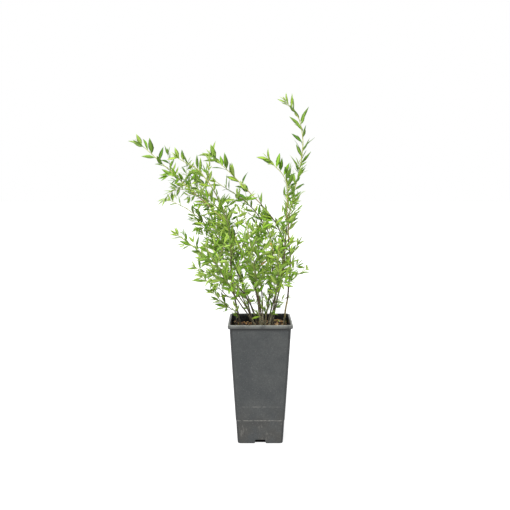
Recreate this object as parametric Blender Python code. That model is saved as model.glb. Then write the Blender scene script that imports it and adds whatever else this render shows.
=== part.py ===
"""Garden spirea with many stems, growing in a tall square nursery pot. Metres, +Z up.

The pot stands on the origin. Each shoot is one smooth line from the soil to its tip. Its lower,
bare part is a stem of its own, and the part above is the one stem of a mass of foliage, which
carries side twigs and leaves by a seeded rule.
"""

import itertools
import math
import random
from collections import namedtuple

import bmesh
import bpy
from mathutils import Matrix, Vector
from mathutils.geometry import interpolate_bezier
from mathutils.kdtree import KDTree

# Pot, a moulded square tub of about two litres
POT_HEIGHT = 0.233
RIM_WIDTH = 0.120
RIM_BAND = 0.0075
RIM_CORNER = 0.0075
RIM_ROUNDING = 0.0018
BODY_TOP_WIDTH = 0.1129
BODY_FOOT_WIDTH = 0.0858
BODY_CORNER = 0.006
WALL = 0.0016
FLOOR = 0.0078
STEP_HEIGHT = 0.043
STEP_INSET = 0.0008
NOTCH_WIDTH = 0.019
NOTCH_FLARE = 1.25
NOTCH_HEIGHT = 0.006
NOTCH_DEPTH = 0.012
NOTCH_CORNER = 0.0015
DRAIN_RADIUS = 0.004
DRAIN_OFFSET = 0.023
DRAIN_SIDES = 8
CORNER_STEPS = 3

# Compost in the pot
SOIL_BELOW_RIM = 0.017
CLEARANCE = 0.0003
SOIL_TOP = POT_HEIGHT - SOIL_BELOW_RIM
STEM_FOOT = SOIL_TOP + CLEARANCE

# Wood: how each shoot tapers, and how far apart its rings are
TIP_RADIUS = 0.0006
TAPER_POWER = 0.8
FLARE = 0.35
FLARE_HEIGHT = 0.010
FOOT_UPRIGHT = 0.35
LINE_STEP = 0.002
CURVE_STEPS = 80
TANGENT_REACH = 2
STEM_RING_POINTS = 9
LEADER_RING_POINTS = 12
LEADER_SIDES = 4
TWIG_SIDES = 3
TWIG_RADIUS = 0.0009
TWIG_TIP_RADIUS = 0.0006
TWIG_STEP = 0.002
TWIG_RING_POINTS = 10
WELD = 0.000001

# Where twigs and leaves sit on the wood
GOLDEN_ANGLE = math.radians(137.5)
NODE_POINTS = 5
FIRST_NODE = 5
LAST_NODE = 4
NODES_PER_TWIG = 2
TWIG_ANGLE = math.radians(48)
TWIG_LIFT = 0.035
TWIG_SWELL_FROM = 0.30
TWIG_SWELL_SPAN = 0.48
SHORTEST_TWIG = 0.014
TWIG_FIRST_LEAF = 4
TWIG_LAST_LEAF = 3
LEAF_POINTS = 6
LEAF_ANGLE = math.radians(50)
LEAF_LIFT = 0.15
LEAF_ROLL = 1.1
LEAF_ROLL_PACE = 7
LEAF_FACES_OUT = 0.3
LEAF_TRIES = 4
TIP_LEAF_ANGLE = math.radians(7)
TUFT_ANGLE = math.radians(24)
TWIG_TUFT = 1
TIP_TUFT = 3
TWIG_TURN_SPREAD = 0.35
LEAF_TURN_SPREAD = 0.3
TWIG_LENGTH_SPREAD = (0.8, 1.1)
TWIG_ANGLE_SPREAD = (0.8, 1.15)
TWIG_LEAF_SPREAD = (0.85, 1.1)
LEADER_LEAF_SPREAD = (0.8, 1.1)

# Leaves, somewhat larger than life on the side twigs so that the crown isn't thin
LEADER_LEAF = 0.027
TWIG_LEAF = 0.0255
LEAF_WIDTH_SHARE = 0.36
LEAF_THICKNESS_SHARE = 0.035
LEAF_WIDEST_AT = 0.45
TUFT_SINK = 0.002
TUFT_LEAF_SHARE = 0.85
TIP_LEAF_SHARE = 0.9

# Room that each mass keeps to
TWIG_CLEAR = 0.0055
ROOM_MARGIN = 0.0024
ABOVE_RIM = 0.005
ABOVE_SOIL = 0.004
LEAF_SAMPLES = (0.2, 0.35, 0.5, 0.65, 0.8, 1.0)
END_SAMPLES = (0.5, 0.9)

# The open sky between the arching shoots and the upright ones on the right
SKY_LOW = Vector((0.014, -0.20, 0.432))
SKY_HIGH = Vector((0.043, 0.20, 0.560))

# foot: place on the soil; bends and tip: where the shoot passes and ends; girth: radius at the foot;
# bare: height at which foliage starts; branched: share of the foliage's length with side twigs;
# twig: length of the longest side twig
Shoot = namedtuple("Shoot", "name foot bends tip girth bare branched twig seed")

SHOOTS = (
    Shoot("left_long", (0.001, 0.010),
          ((-0.012, 0.010, 0.300), (-0.062, 0.018, 0.411), (-0.150, 0.030, 0.496)),
          (-0.235, 0.040, 0.573), 0.0020, 0.288, 0.80, 0.060, 11),
    Shoot("left_high", (-0.039, 0.005),
          ((-0.054, -0.014, 0.310), (-0.061, -0.031, 0.420), (-0.105, -0.048, 0.510)),
          (-0.150, -0.060, 0.540), 0.0023, 0.296, 0.80, 0.056, 12),
    Shoot("upper_left", (-0.013, 0.016),
          ((-0.036, 0.028, 0.300), (-0.078, 0.052, 0.430)),
          (-0.128, 0.070, 0.515), 0.0018, 0.292, 0.75, 0.046, 13),
    Shoot("crossing", (0.016, 0.021),
          ((0.044, 0.040, 0.335), (0.038, 0.050, 0.405), (-0.025, 0.063, 0.482)),
          (-0.098, 0.075, 0.553), 0.0020, 0.284, 0.32, 0.046, 14),
    Shoot("middle", (0.010, 0.006),
          ((0.024, -0.008, 0.340), (0.016, -0.015, 0.400), (-0.022, -0.022, 0.455)),
          (-0.086, -0.032, 0.500), 0.0018, 0.280, 0.78, 0.048, 15),
    Shoot("right_tall", (0.047, 0.018),
          ((0.059, 0.014, 0.330), (0.055, 0.014, 0.421), (0.080, 0.004, 0.556), (0.074, 0.000, 0.612)),
          (0.047, -0.004, 0.648), 0.0021, 0.322, 0.50, 0.032, 16),
    Shoot("right_inner", (0.024, 0.006),
          ((0.043, -0.012, 0.330), (0.050, -0.026, 0.440), (0.047, -0.032, 0.500)),
          (0.012, -0.042, 0.541), 0.0018, 0.292, 0.72, 0.040, 17),
    Shoot("lower_left", (-0.003, -0.001),
          ((-0.029, -0.028, 0.285), (-0.080, -0.064, 0.345)),
          (-0.150, -0.092, 0.405), 0.0019, 0.266, 0.66, 0.052, 18),
    Shoot("left_low", (-0.010, 0.005),
          ((-0.043, 0.000, 0.280), (-0.086, -0.011, 0.316)),
          (-0.124, -0.018, 0.336), 0.0017, 0.262, 0.76, 0.044, 28),
    Shoot("left_back", (-0.006, 0.024),
          ((-0.031, 0.050, 0.285), (-0.078, 0.084, 0.375), (-0.140, 0.104, 0.436)),
          (-0.188, 0.114, 0.462), 0.0019, 0.272, 0.74, 0.056, 19),
    Shoot("front_middle", (0.005, -0.007),
          ((-0.004, -0.042, 0.290), (-0.014, -0.068, 0.362)),
          (-0.030, -0.096, 0.440), 0.0017, 0.274, 0.80, 0.050, 20),
    Shoot("front_left", (-0.011, -0.009),
          ((-0.046, -0.052, 0.285),),
          (-0.096, -0.132, 0.386), 0.0017, 0.268, 0.80, 0.052, 21),
    Shoot("front_right", (0.018, -0.004),
          ((0.030, -0.038, 0.290),),
          (0.032, -0.116, 0.392), 0.0017, 0.272, 0.80, 0.046, 22),
    Shoot("back_middle", (0.006, 0.027),
          ((0.003, 0.062, 0.290),),
          (-0.010, 0.116, 0.440), 0.0018, 0.276, 0.80, 0.052, 23),
    Shoot("back_left", (-0.014, 0.029),
          ((-0.044, 0.070, 0.280),),
          (-0.100, 0.140, 0.376), 0.0017, 0.268, 0.80, 0.054, 24),
    Shoot("back_right", (0.022, 0.030),
          ((0.042, 0.062, 0.290),),
          (0.054, 0.122, 0.394), 0.0018, 0.276, 0.80, 0.044, 25),
    Shoot("sprout_left", (-0.044, -0.020), (), (-0.047, -0.030, 0.262), 0.0010, 0.228, 0.0, 0.0, 26),
    Shoot("sprout_middle", (0.008, 0.016), (), (0.014, 0.016, 0.254), 0.0009, 0.226, 0.0, 0.0, 27),
)

# A side shoot leaves the bare stem of its carrier at a height
SideShoot = namedtuple("SideShoot", "name carrier height bends tip girth branched twig seed")

SIDE_SHOOTS = (
    SideShoot("low_left_front", "left_high", 0.252, ((-0.072, -0.018, 0.270),),
              (-0.090, -0.030, 0.290), 0.0010, 0.75, 0.026, 31),
    SideShoot("low_left", "left_high", 0.276, ((-0.082, -0.028, 0.300),),
              (-0.110, -0.042, 0.320), 0.0011, 0.75, 0.040, 32),
    SideShoot("low_right", "right_tall", 0.306, ((0.074, 0.004, 0.320),),
              (0.088, -0.004, 0.330), 0.0009, 0.0, 0.0, 33),
)

POT_COLOUR = (0.060, 0.064, 0.066, 1)
SOIL_COLOUR = (0.045, 0.026, 0.015, 1)
BARK_COLOUR = (0.110, 0.072, 0.045, 1)
FOLIAGE_COLOUR = (0.190, 0.330, 0.060, 1)


def clear_scene():
    for thing in list(bpy.data.objects):
        bpy.data.objects.remove(thing, do_unlink=True)


def new_collection(name):
    made = bpy.data.collections.new(name)
    bpy.context.scene.collection.children.link(made)
    return made


def new_material(name, colour, roughness):
    made = bpy.data.materials.new(name)
    made.use_nodes = True
    shader = made.node_tree.nodes["Principled BSDF"]
    shader.inputs["Base Color"].default_value = colour
    shader.inputs["Roughness"].default_value = roughness
    shader.inputs["Metallic"].default_value = 0.0
    made.diffuse_color = colour
    return made


def object_from(bm, name, collection):
    """A new object that holds the finished bmesh, with its faces turned outwards."""
    bmesh.ops.recalc_face_normals(bm, faces=bm.faces)
    mesh = bpy.data.meshes.new(name)
    bm.to_mesh(mesh)
    bm.free()
    made = bpy.data.objects.new(name, mesh)
    collection.objects.link(made)
    return made


# Pot and compost


def body_width(height):
    """Outer width of the tapering wall at a height."""
    share = height / (POT_HEIGHT - RIM_BAND)
    return BODY_FOOT_WIDTH + (BODY_TOP_WIDTH - BODY_FOOT_WIDTH) * share


def square_block(name, low, high, low_width, high_width, corner, collection):
    """A square block that tapers from its low face to its high face, its upright edges rounded."""
    bm = bmesh.new()
    bmesh.ops.create_cube(bm, size=1)
    for vert in bm.verts:
        at_top = vert.co.z > 0
        width = high_width if at_top else low_width
        vert.co = Vector((vert.co.x * width, vert.co.y * width, high if at_top else low))
    upright = [edge for edge in bm.edges if edge.verts[0].co.z != edge.verts[1].co.z]
    bmesh.ops.bevel(bm, geom=upright, offset=corner, segments=CORNER_STEPS, profile=0.5,
                    affect="EDGES", material=-1)
    return object_from(bm, name, collection)


def rim_block(name, collection):
    """The band round the mouth of the pot, with its outer upper edge rounded over."""
    block = square_block(name, POT_HEIGHT - RIM_BAND, POT_HEIGHT, RIM_WIDTH, RIM_WIDTH, RIM_CORNER,
                         collection)
    bm = bmesh.new()
    bm.from_mesh(block.data)
    half_band = POT_HEIGHT - RIM_BAND / 2
    on_top = [edge for edge in bm.edges if all(vert.co.z > half_band for vert in edge.verts)]
    bmesh.ops.bevel(bm, geom=on_top, offset=RIM_ROUNDING, segments=2, profile=0.5,
                    affect="EDGES", material=-1)
    bm.to_mesh(block.data)
    bm.free()
    return block


def add_boolean(target, operation, other):
    other.hide_render = True
    other.display_type = "WIRE"
    step = target.modifiers.new(other.name, "BOOLEAN")
    step.operation = operation
    step.solver = "EXACT"
    step.object = other


def make_pot(parts, cutters, material):
    lower_top = body_width(STEP_HEIGHT) - 2 * STEP_INSET
    lower_foot = BODY_FOOT_WIDTH - 2 * STEP_INSET
    pot = square_block("pot", 0, STEP_HEIGHT + WALL, lower_foot, lower_top, BODY_CORNER, parts)
    pot.data.materials.append(material)
    body_high = POT_HEIGHT - RIM_BAND + WALL
    body = square_block("pot_body", STEP_HEIGHT, body_high, body_width(STEP_HEIGHT),
                        body_width(body_high), BODY_CORNER, cutters)
    add_boolean(pot, "UNION", body)
    add_boolean(pot, "UNION", rim_block("pot_rim", cutters))
    mouth = POT_HEIGHT + WALL
    hollow = square_block("pot_hollow", FLOOR, mouth, body_width(FLOOR) - 2 * (STEP_INSET + WALL),
                          body_width(mouth) - 2 * WALL, BODY_CORNER - WALL, cutters)
    add_boolean(pot, "DIFFERENCE", hollow)
    for number in range(4):
        turn = Matrix.Rotation(number * math.pi / 2, 4, "Z")
        notch = square_block(f"notch_{number}", -NOTCH_HEIGHT, NOTCH_HEIGHT, NOTCH_WIDTH * NOTCH_FLARE,
                             NOTCH_WIDTH, NOTCH_CORNER, cutters)
        squeeze = Matrix.Diagonal((1, 2 * NOTCH_DEPTH / NOTCH_WIDTH, 1, 1))
        notch.data.transform(turn @ Matrix.Translation((0, -BODY_FOOT_WIDTH / 2, 0)) @ squeeze)
        add_boolean(pot, "DIFFERENCE", notch)
        drain = bmesh.new()
        place = turn @ Matrix.Translation((DRAIN_OFFSET, DRAIN_OFFSET, 0))
        bmesh.ops.create_cone(drain, segments=DRAIN_SIDES, radius1=DRAIN_RADIUS, radius2=DRAIN_RADIUS,
                              depth=4 * FLOOR, cap_ends=True, matrix=place)
        add_boolean(pot, "DIFFERENCE", object_from(drain, f"drain_{number}", cutters))


def make_soil(parts, material):
    inset = 2 * (WALL + CLEARANCE)
    foot = FLOOR + CLEARANCE
    soil = square_block("soil", foot, SOIL_TOP, body_width(foot) - 2 * STEP_INSET - inset,
                        body_width(SOIL_TOP) - inset, BODY_CORNER - WALL, parts)
    soil.data.materials.append(material)


# Lines that the wood follows


def smooth_line(places, heading):
    """Points LINE_STEP apart on a smooth curve that leaves the first place along heading."""
    places = [Vector(place) for place in places]
    headings = [heading]
    for before, after in zip(places[:-2], places[2:]):
        headings.append((after - before).normalized())
    headings.append((places[-1] - places[-2]).normalized())
    fine = [places[0]]
    for index in range(len(places) - 1):
        start, end = places[index], places[index + 1]
        handle = (end - start).length / 3
        leaving = start + headings[index] * handle
        arriving = end - headings[index + 1] * handle
        fine += interpolate_bezier(start, leaving, arriving, end, CURVE_STEPS)[1:]
    line = [fine[0]]
    for point in fine[1:]:
        while (point - line[-1]).length >= LINE_STEP:
            line.append(line[-1] + (point - line[-1]).normalized() * LINE_STEP)
    return line


def ring_places(first, last, step):
    """Which points of a line carry a ring of the rod: both ends, and every so many between."""
    return list(range(first, last - step // 2, step)) + [last]


def straighten(line, rings):
    """Moves the points between rings onto the straight runs of the rod, so that leaves sit in it."""
    for low, high in zip(rings[:-1], rings[1:]):
        for index in range(low + 1, high):
            line[index] = line[low].lerp(line[high], (index - low) / (high - low))


class Limb:
    """One shoot: its line from foot to tip, its thickness, and where its foliage starts."""

    def __init__(self, shoot, line, first_leafy, flare):
        self.name = shoot.name
        self.line = line
        self.leader_rings = [first_leafy]
        self.leader_rings += ring_places(first_leafy + 1, len(line) - 1, LEADER_RING_POINTS)
        straighten(line, self.leader_rings)
        self.girth = shoot.girth
        self.first_leafy = first_leafy
        self.branched = shoot.branched
        self.twig = shoot.twig
        self.seed = shoot.seed
        self.flare = flare

    def radius(self, index):
        left = 1 - index / (len(self.line) - 1)
        swell = 1 + self.flare * math.exp(-index * LINE_STEP / FLARE_HEIGHT)
        return TIP_RADIUS + (self.girth * swell - TIP_RADIUS) * left**TAPER_POWER

    def tangent(self, index):
        before = self.line[max(index - TANGENT_REACH, 0)]
        after = self.line[min(index + TANGENT_REACH, len(self.line) - 1)]
        return (after - before).normalized()


def limb_from_shoot(shoot):
    """A shoot that stands upright for one step, cut level, and then leans towards its first bend."""
    foot = Vector((*shoot.foot, STEM_FOOT))
    start = foot + Vector((0, 0, LINE_STEP))
    places = [start, *shoot.bends, shoot.tip]
    lean = (Vector(places[1]) - start).normalized()
    heading = (lean + Vector((0, 0, FOOT_UPRIGHT))).normalized()
    line = [foot, *smooth_line(places, heading)]
    first_leafy = next(index for index, point in enumerate(line) if point.z >= shoot.bare)
    return Limb(shoot, line, first_leafy, FLARE)


def limb_from_side_shoot(shoot, carrier):
    index = min(range(carrier.first_leafy), key=lambda i: abs(carrier.line[i].z - shoot.height))
    axis = carrier.tangent(index)
    outward = Vector(shoot.bends[0]) - carrier.line[index]
    outward = (outward - axis * outward.dot(axis)).normalized()
    start = carrier.line[index] + outward * (carrier.radius(index) + CLEARANCE)
    line = smooth_line([start, *shoot.bends, shoot.tip], outward)
    return Limb(shoot, line, 0, 0)


# Room that each mass keeps to


def open_air(point):
    """Whether a point is clear of the pot, the soil and the open part of the crown."""
    inside_pot = max(abs(point.x), abs(point.y)) < BODY_TOP_WIDTH / 2 - ABOVE_RIM
    if point.z < (SOIL_TOP + ABOVE_SOIL if inside_pot else POT_HEIGHT + ABOVE_RIM):
        return False
    return not all(low < value < high for low, value, high in zip(SKY_LOW, point, SKY_HIGH))


class Wood:
    """All wood of the plant, kept in small cells, so that twigs can grow clear of other masses."""

    def __init__(self):
        self.cells = {}

    @staticmethod
    def cell_of(point):
        return tuple(math.floor(value / TWIG_CLEAR) for value in point)

    def add(self, owner, points):
        for point in points:
            self.cells.setdefault(self.cell_of(point), []).append((owner, point))

    def clear_of_others(self, owner, point):
        x, y, z = self.cell_of(point)
        for near in itertools.product((x - 1, x, x + 1), (y - 1, y, y + 1), (z - 1, z, z + 1)):
            for other, place in self.cells.get(near, ()):
                if other != owner and (place - point).length < TWIG_CLEAR:
                    return False
        return True


def beyond(course):
    """Two places ahead of the end of a twig or shoot, which its last leaf reaches into."""
    ahead = (course[-1] - course[-3]).normalized()
    return [course[-1] + ahead * TWIG_LEAF * share for share in END_SAMPLES]


class Rooms:
    """The room of each mass: the places that are nearer to its own wood than to any other."""

    def __init__(self, wood, owners):
        points = [held for cell in wood.cells.values() for held in cell]
        self.own = {owner: self.tree_of([p for o, p in points if o == owner]) for owner in owners}
        self.others = {owner: self.tree_of([p for o, p in points if o != owner]) for owner in owners}

    @staticmethod
    def tree_of(points):
        tree = KDTree(len(points))
        for index, point in enumerate(points):
            tree.insert(point, index)
        tree.balance()
        return tree

    def holds(self, owner, point):
        """Whether a twig or leaf of this mass may be at the point."""
        if not open_air(point):
            return False
        return self.others[owner].find(point)[2] - self.own[owner].find(point)[2] > ROOM_MARGIN


# Twigs and leaves of a mass


def outward_from(tangent, turn):
    """A direction square to the wood, at an angle round it."""
    side = (Vector((0, 1, 0)) - tangent * tangent.y).normalized()
    return side * math.cos(turn) + tangent.cross(side) * math.sin(turn)


def nodes_of(limb):
    """The places along a shoot's leafy part that carry a twig or a leaf."""
    return enumerate(range(limb.first_leafy + FIRST_NODE, len(limb.line) - LAST_NODE, NODE_POINTS))


def is_branched(limb, index):
    leafy = (index - limb.first_leafy) / (len(limb.line) - 1 - limb.first_leafy)
    return leafy < limb.branched


def grow_twig(limb, index, node, wood):
    """Points of the side twig at a node of the shoot, as far as it stays clear of other masses."""
    rng = random.Random(limb.seed * 1000 + node)
    leafy = (index - limb.first_leafy) / (len(limb.line) - 1 - limb.first_leafy)
    swell = math.sin(math.pi * (TWIG_SWELL_FROM + TWIG_SWELL_SPAN * leafy / limb.branched))
    length = limb.twig * swell * rng.uniform(*TWIG_LENGTH_SPREAD)
    tangent = limb.tangent(index)
    turn = node * GOLDEN_ANGLE + rng.uniform(-TWIG_TURN_SPREAD, TWIG_TURN_SPREAD)
    outward = outward_from(tangent, turn)
    angle = TWIG_ANGLE * rng.uniform(*TWIG_ANGLE_SPREAD)
    heading = tangent * math.cos(angle) + outward * math.sin(angle)
    course = [limb.line[index].copy()]
    while len(course) * TWIG_STEP < length:
        heading = (heading + Vector((0, 0, TWIG_LIFT))).normalized()
        ahead = course[-1] + heading * TWIG_STEP
        if not open_air(ahead) or not wood.clear_of_others(limb.name, ahead):
            break
        course.append(ahead)
    if len(course) * TWIG_STEP < SHORTEST_TWIG:
        return None
    straighten(course, ring_places(0, len(course) - 1, TWIG_RING_POINTS))
    return course


def grow_all_twigs(limbs, wood):
    """The twigs of each mass by node: all masses grow theirs in turn, from the bottom upwards."""
    twigs = {limb.name: {} for limb in limbs}
    waiting = [(node, limb, index) for limb in limbs for node, index in nodes_of(limb)]
    for node, limb, index in sorted(waiting, key=lambda item: (item[0], item[1].seed)):
        if node % NODES_PER_TWIG or not is_branched(limb, index):
            continue
        course = grow_twig(limb, index, node, wood)
        if course:
            twigs[limb.name][node] = course
            wood.add(limb.name, course)
    return twigs


def leaf_matrix(root, direction, upward, length):
    """Places the leaf form: its length along direction, its upper face towards upward."""
    face = (upward - direction * upward.dot(direction)).normalized()
    across = face.cross(direction)
    turn = Matrix((across, face, direction)).transposed().to_4x4()
    width = length * LEAF_WIDTH_SHARE
    size = Matrix.Diagonal((width, length * LEAF_THICKNESS_SHARE, length, 1))
    return Matrix.Translation(root) @ turn @ size


def leaf_fits(matrix, owner, rooms):
    """Whether the midrib and both edges of a leaf lie in the room of its mass."""
    for along in LEAF_SAMPLES:
        half = 0.5 * min(along / LEAF_WIDEST_AT, (1 - along) / (1 - LEAF_WIDEST_AT))
        for across in (-half, 0, half):
            if not rooms.holds(owner, matrix @ Vector((across, 0, along))):
                return False
    return True


def leaf_at(root, tangent, turn, angle, length, owner, rooms):
    """The matrix of a leaf beside the wood. It turns on round the wood where its place is taken."""
    for attempt in range(LEAF_TRIES):
        outward = outward_from(tangent, turn + attempt * GOLDEN_ANGLE)
        direction = tangent * math.cos(angle) + outward * math.sin(angle)
        direction = (direction + Vector((0, 0, LEAF_LIFT))).normalized()
        roll = Matrix.Rotation(LEAF_ROLL * math.sin(LEAF_ROLL_PACE * turn + attempt), 3, direction)
        matrix = leaf_matrix(root, direction, roll @ (tangent - outward * LEAF_FACES_OUT), length)
        if leaf_fits(matrix, owner, rooms):
            return [matrix]
    return []


def tuft(end, tangent, turn, length, count, owner, rooms):
    """The leaves at the end of a shoot or twig: one ahead and the others fanned round it."""
    end = end - tangent * TUFT_SINK
    leaves = leaf_at(end, tangent, turn, TIP_LEAF_ANGLE, length, owner, rooms)
    for number in range(1, count):
        around = turn + number * GOLDEN_ANGLE
        leaves += leaf_at(end, tangent, around, TUFT_ANGLE, length * TUFT_LEAF_SHARE, owner, rooms)
    return leaves


def leaves_on_twig(course, node, rng, owner, rooms):
    leaves = []
    for number, place in enumerate(range(TWIG_FIRST_LEAF, len(course) - TWIG_LAST_LEAF, LEAF_POINTS)):
        tangent = (course[place] - course[place - 1]).normalized()
        size = TWIG_LEAF * rng.uniform(*TWIG_LEAF_SPREAD)
        turn = number * GOLDEN_ANGLE + node
        leaves += leaf_at(course[place], tangent, turn, LEAF_ANGLE, size, owner, rooms)
    tangent = (course[-1] - course[-2]).normalized()
    return leaves + tuft(course[-1], tangent, node, TWIG_LEAF, TWIG_TUFT, owner, rooms)


def leaves_of(limb, twigs, rooms):
    """The matrices of all leaves of one mass."""
    leaves = []
    for node, index in nodes_of(limb):
        rng = random.Random(limb.seed * 2000 + node)
        if node in twigs:
            leaves += leaves_on_twig(twigs[node], node, rng, limb.name, rooms)
        elif not is_branched(limb, index):
            turn = node * GOLDEN_ANGLE + rng.uniform(-LEAF_TURN_SPREAD, LEAF_TURN_SPREAD)
            size = LEADER_LEAF * rng.uniform(*LEADER_LEAF_SPREAD)
            tangent = limb.tangent(index)
            leaves += leaf_at(limb.line[index], tangent, turn, LEAF_ANGLE, size, limb.name, rooms)
    end = len(limb.line) - 1
    size = LEADER_LEAF * TIP_LEAF_SHARE
    return leaves + tuft(limb.line[end], limb.tangent(end), limb.seed, size, TIP_TUFT, limb.name, rooms)


# Solids of the plant


def wood_curve(name, points, radii, collection, section=None):
    """A tapering rod: a curve with a round bevel, or with the given many-sided section."""
    curve = bpy.data.curves.new(name, "CURVE")
    curve.dimensions = "3D"
    curve.use_fill_caps = True
    if section:
        curve.bevel_mode = "OBJECT"
        curve.bevel_object = section
    else:
        curve.bevel_depth = 1
        curve.bevel_resolution = 2
    spline = curve.splines.new("POLY")
    spline.points.add(len(points) - 1)
    for held, point, radius in zip(spline.points, points, radii):
        held.co = (*point, 1)
        held.radius = radius
    made = bpy.data.objects.new(name, curve)
    collection.objects.link(made)
    return made


def section_curve(name, sides, collection):
    """A regular many-sided outline of radius 1, the section of a rod."""
    curve = bpy.data.curves.new(name, "CURVE")
    curve.dimensions = "2D"
    spline = curve.splines.new("POLY")
    spline.points.add(sides - 1)
    for number, held in enumerate(spline.points):
        turn = 2 * math.pi * number / sides
        held.co = (math.cos(turn), math.sin(turn), 0, 1)
    spline.use_cyclic_u = True
    made = bpy.data.objects.new(name, curve)
    made.hide_render = True
    collection.objects.link(made)
    return made


def leaf_form():
    """A leaf of length, width and depth 1: two margins and a keel below the midrib, its tip up +Z."""
    bm = bmesh.new()
    bmesh.ops.create_uvsphere(bm, u_segments=3, v_segments=2, radius=0.5)
    bmesh.ops.scale(bm, verts=bm.verts, vec=(1 / math.cos(math.pi / 6), -4 / 3, 1))
    bmesh.ops.translate(bm, verts=bm.verts, vec=(0, 0, 0.5))
    middle = [vert for vert in bm.verts if 0.1 < vert.co.z < 0.9]
    bmesh.ops.translate(bm, verts=middle, vec=(0, 0, LEAF_WIDEST_AT - 0.5))
    bmesh.ops.recalc_face_normals(bm, faces=bm.faces)
    mesh = bpy.data.meshes.new("leaf_form")
    bm.to_mesh(mesh)
    bm.free()
    return mesh


def mesh_from_curve(rod, graph):
    """The rod as a welded mesh object in place of its curve."""
    mesh = bpy.data.meshes.new_from_object(rod.evaluated_get(graph))
    bm = bmesh.new()
    bm.from_mesh(mesh)
    bmesh.ops.remove_doubles(bm, verts=bm.verts, dist=WELD)
    bmesh.ops.recalc_face_normals(bm, faces=bm.faces)
    bm.to_mesh(mesh)
    bm.free()
    made = bpy.data.objects.new(rod.name, mesh)
    made.matrix_world = rod.matrix_world.copy()
    for collection in rod.users_collection:
        collection.objects.link(made)
    name = rod.name
    bpy.data.objects.remove(rod, do_unlink=True)
    made.name = name
    return made


def keep_outer_shell(mesh):
    """Drops loose scraps and the walls of sealed hollows: only the largest shell stays."""
    bm = bmesh.new()
    bm.from_mesh(mesh)
    waiting = set(bm.verts)
    shells = []
    while waiting:
        edge_of_shell = [waiting.pop()]
        shell = set(edge_of_shell)
        while edge_of_shell:
            vert = edge_of_shell.pop()
            for edge in vert.link_edges:
                other = edge.other_vert(vert)
                if other in waiting:
                    waiting.discard(other)
                    shell.add(other)
                    edge_of_shell.append(other)
        shells.append(shell)
    shells.sort(key=len)
    for shell in shells[:-1]:
        bmesh.ops.delete(bm, geom=list(shell), context="VERTS")
    bm.to_mesh(mesh)
    bm.free()


def join_mass(leader, pieces):
    """One union of the leader with all twigs and leaves in the collection, applied."""
    step = leader.modifiers.new("join", "BOOLEAN")
    step.operation = "UNION"
    step.solver = "MANIFOLD"
    step.operand_type = "COLLECTION"
    step.collection = pieces
    graph = bpy.context.evaluated_depsgraph_get()
    joined = bpy.data.meshes.new_from_object(leader.evaluated_get(graph))
    leader.modifiers.clear()
    leader.data = joined
    keep_outer_shell(joined)
    for piece in list(pieces.objects):
        bpy.data.objects.remove(piece, do_unlink=True)
    bpy.data.collections.remove(pieces)


def make_stem(limb, parts, material):
    """The bare part of a shoot, cut flat at the soil."""
    end = limb.first_leafy
    rings = [0] + ring_places(1, end - 1, STEM_RING_POINTS) + [end]
    points = [limb.line[index] for index in rings]
    radii = [limb.radius(index) for index in rings]
    stem = wood_curve(f"stem_{limb.name}", points, radii, parts)
    stem.data.materials.append(material)


def make_mass(limb, courses, leaves, parts, sections, leaf_mesh, material):
    """The leafy part of a shoot, fused into one solid."""
    points = [limb.line[index].copy() for index in limb.leader_rings]
    if limb.first_leafy:
        points[0] += limb.tangent(limb.first_leafy) * CLEARANCE
    radii = [limb.radius(index) for index in limb.leader_rings]
    leader = wood_curve(f"mass_{limb.name}", points, radii, parts, sections[LEADER_SIDES])
    pieces = new_collection(f"pieces_{limb.name}")
    rods = []
    for number, course in enumerate(courses):
        points = [course[index] for index in ring_places(0, len(course) - 1, TWIG_RING_POINTS)]
        shares = [index / (len(points) - 1) for index in range(len(points))]
        radii = [TWIG_RADIUS + (TWIG_TIP_RADIUS - TWIG_RADIUS) * share for share in shares]
        rods.append(wood_curve(f"twig_{number}", points, radii, pieces, sections[TWIG_SIDES]))
    for number, matrix in enumerate(leaves):
        leaf = bpy.data.objects.new(f"leaf_{number}", leaf_mesh)
        leaf.matrix_world = matrix
        pieces.objects.link(leaf)
    graph = bpy.context.evaluated_depsgraph_get()
    for rod in rods:
        mesh_from_curve(rod, graph)
    leader = mesh_from_curve(leader, graph)
    join_mass(leader, pieces)
    leader.data.materials.clear()
    leader.data.materials.append(material)


def main():
    clear_scene()
    parts = new_collection("potted_spirea")
    cutters = new_collection("cutters")
    make_pot(parts, cutters, new_material("pot_plastic", POT_COLOUR, 0.55))
    make_soil(parts, new_material("compost", SOIL_COLOUR, 0.95))
    limbs = {shoot.name: limb_from_shoot(shoot) for shoot in SHOOTS}
    for shoot in SIDE_SHOOTS:
        limbs[shoot.name] = limb_from_side_shoot(shoot, limbs[shoot.carrier])
    wood = Wood()
    for limb in limbs.values():
        wood.add("stems", limb.line[: limb.first_leafy])
        wood.add(limb.name, limb.line[limb.first_leafy :])
    twigs = grow_all_twigs(list(limbs.values()), wood)
    for limb in limbs.values():
        for course in [limb.line, *twigs[limb.name].values()]:
            wood.add(limb.name, beyond(course))
    rooms = Rooms(wood, list(limbs))
    sections = {}
    for sides in (TWIG_SIDES, LEADER_SIDES):
        sections[sides] = section_curve(f"section_{sides}", sides, cutters)
    leaf_mesh = leaf_form()
    bark = new_material("bark", BARK_COLOUR, 0.8)
    foliage = new_material("foliage", FOLIAGE_COLOUR, 0.6)
    for limb in limbs.values():
        if limb.first_leafy:
            make_stem(limb, parts, bark)
        leaves = leaves_of(limb, twigs[limb.name], rooms)
        courses = list(twigs[limb.name].values())
        make_mass(limb, courses, leaves, parts, sections, leaf_mesh, foliage)


main()
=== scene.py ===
"""Young spirea with many stems, in leaf, in a tall square nursery pot. Metres, +Z up.

The sections follow the plant as it is put together: the pot, the compost, the shoots with their
bark, the side twigs, the leaves, and then the studio around it.
"""

import itertools
import math
import random
from collections import namedtuple

import bmesh
import bpy
import numpy as np
from mathutils import Matrix, Vector, noise
from mathutils.geometry import interpolate_bezier


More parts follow.
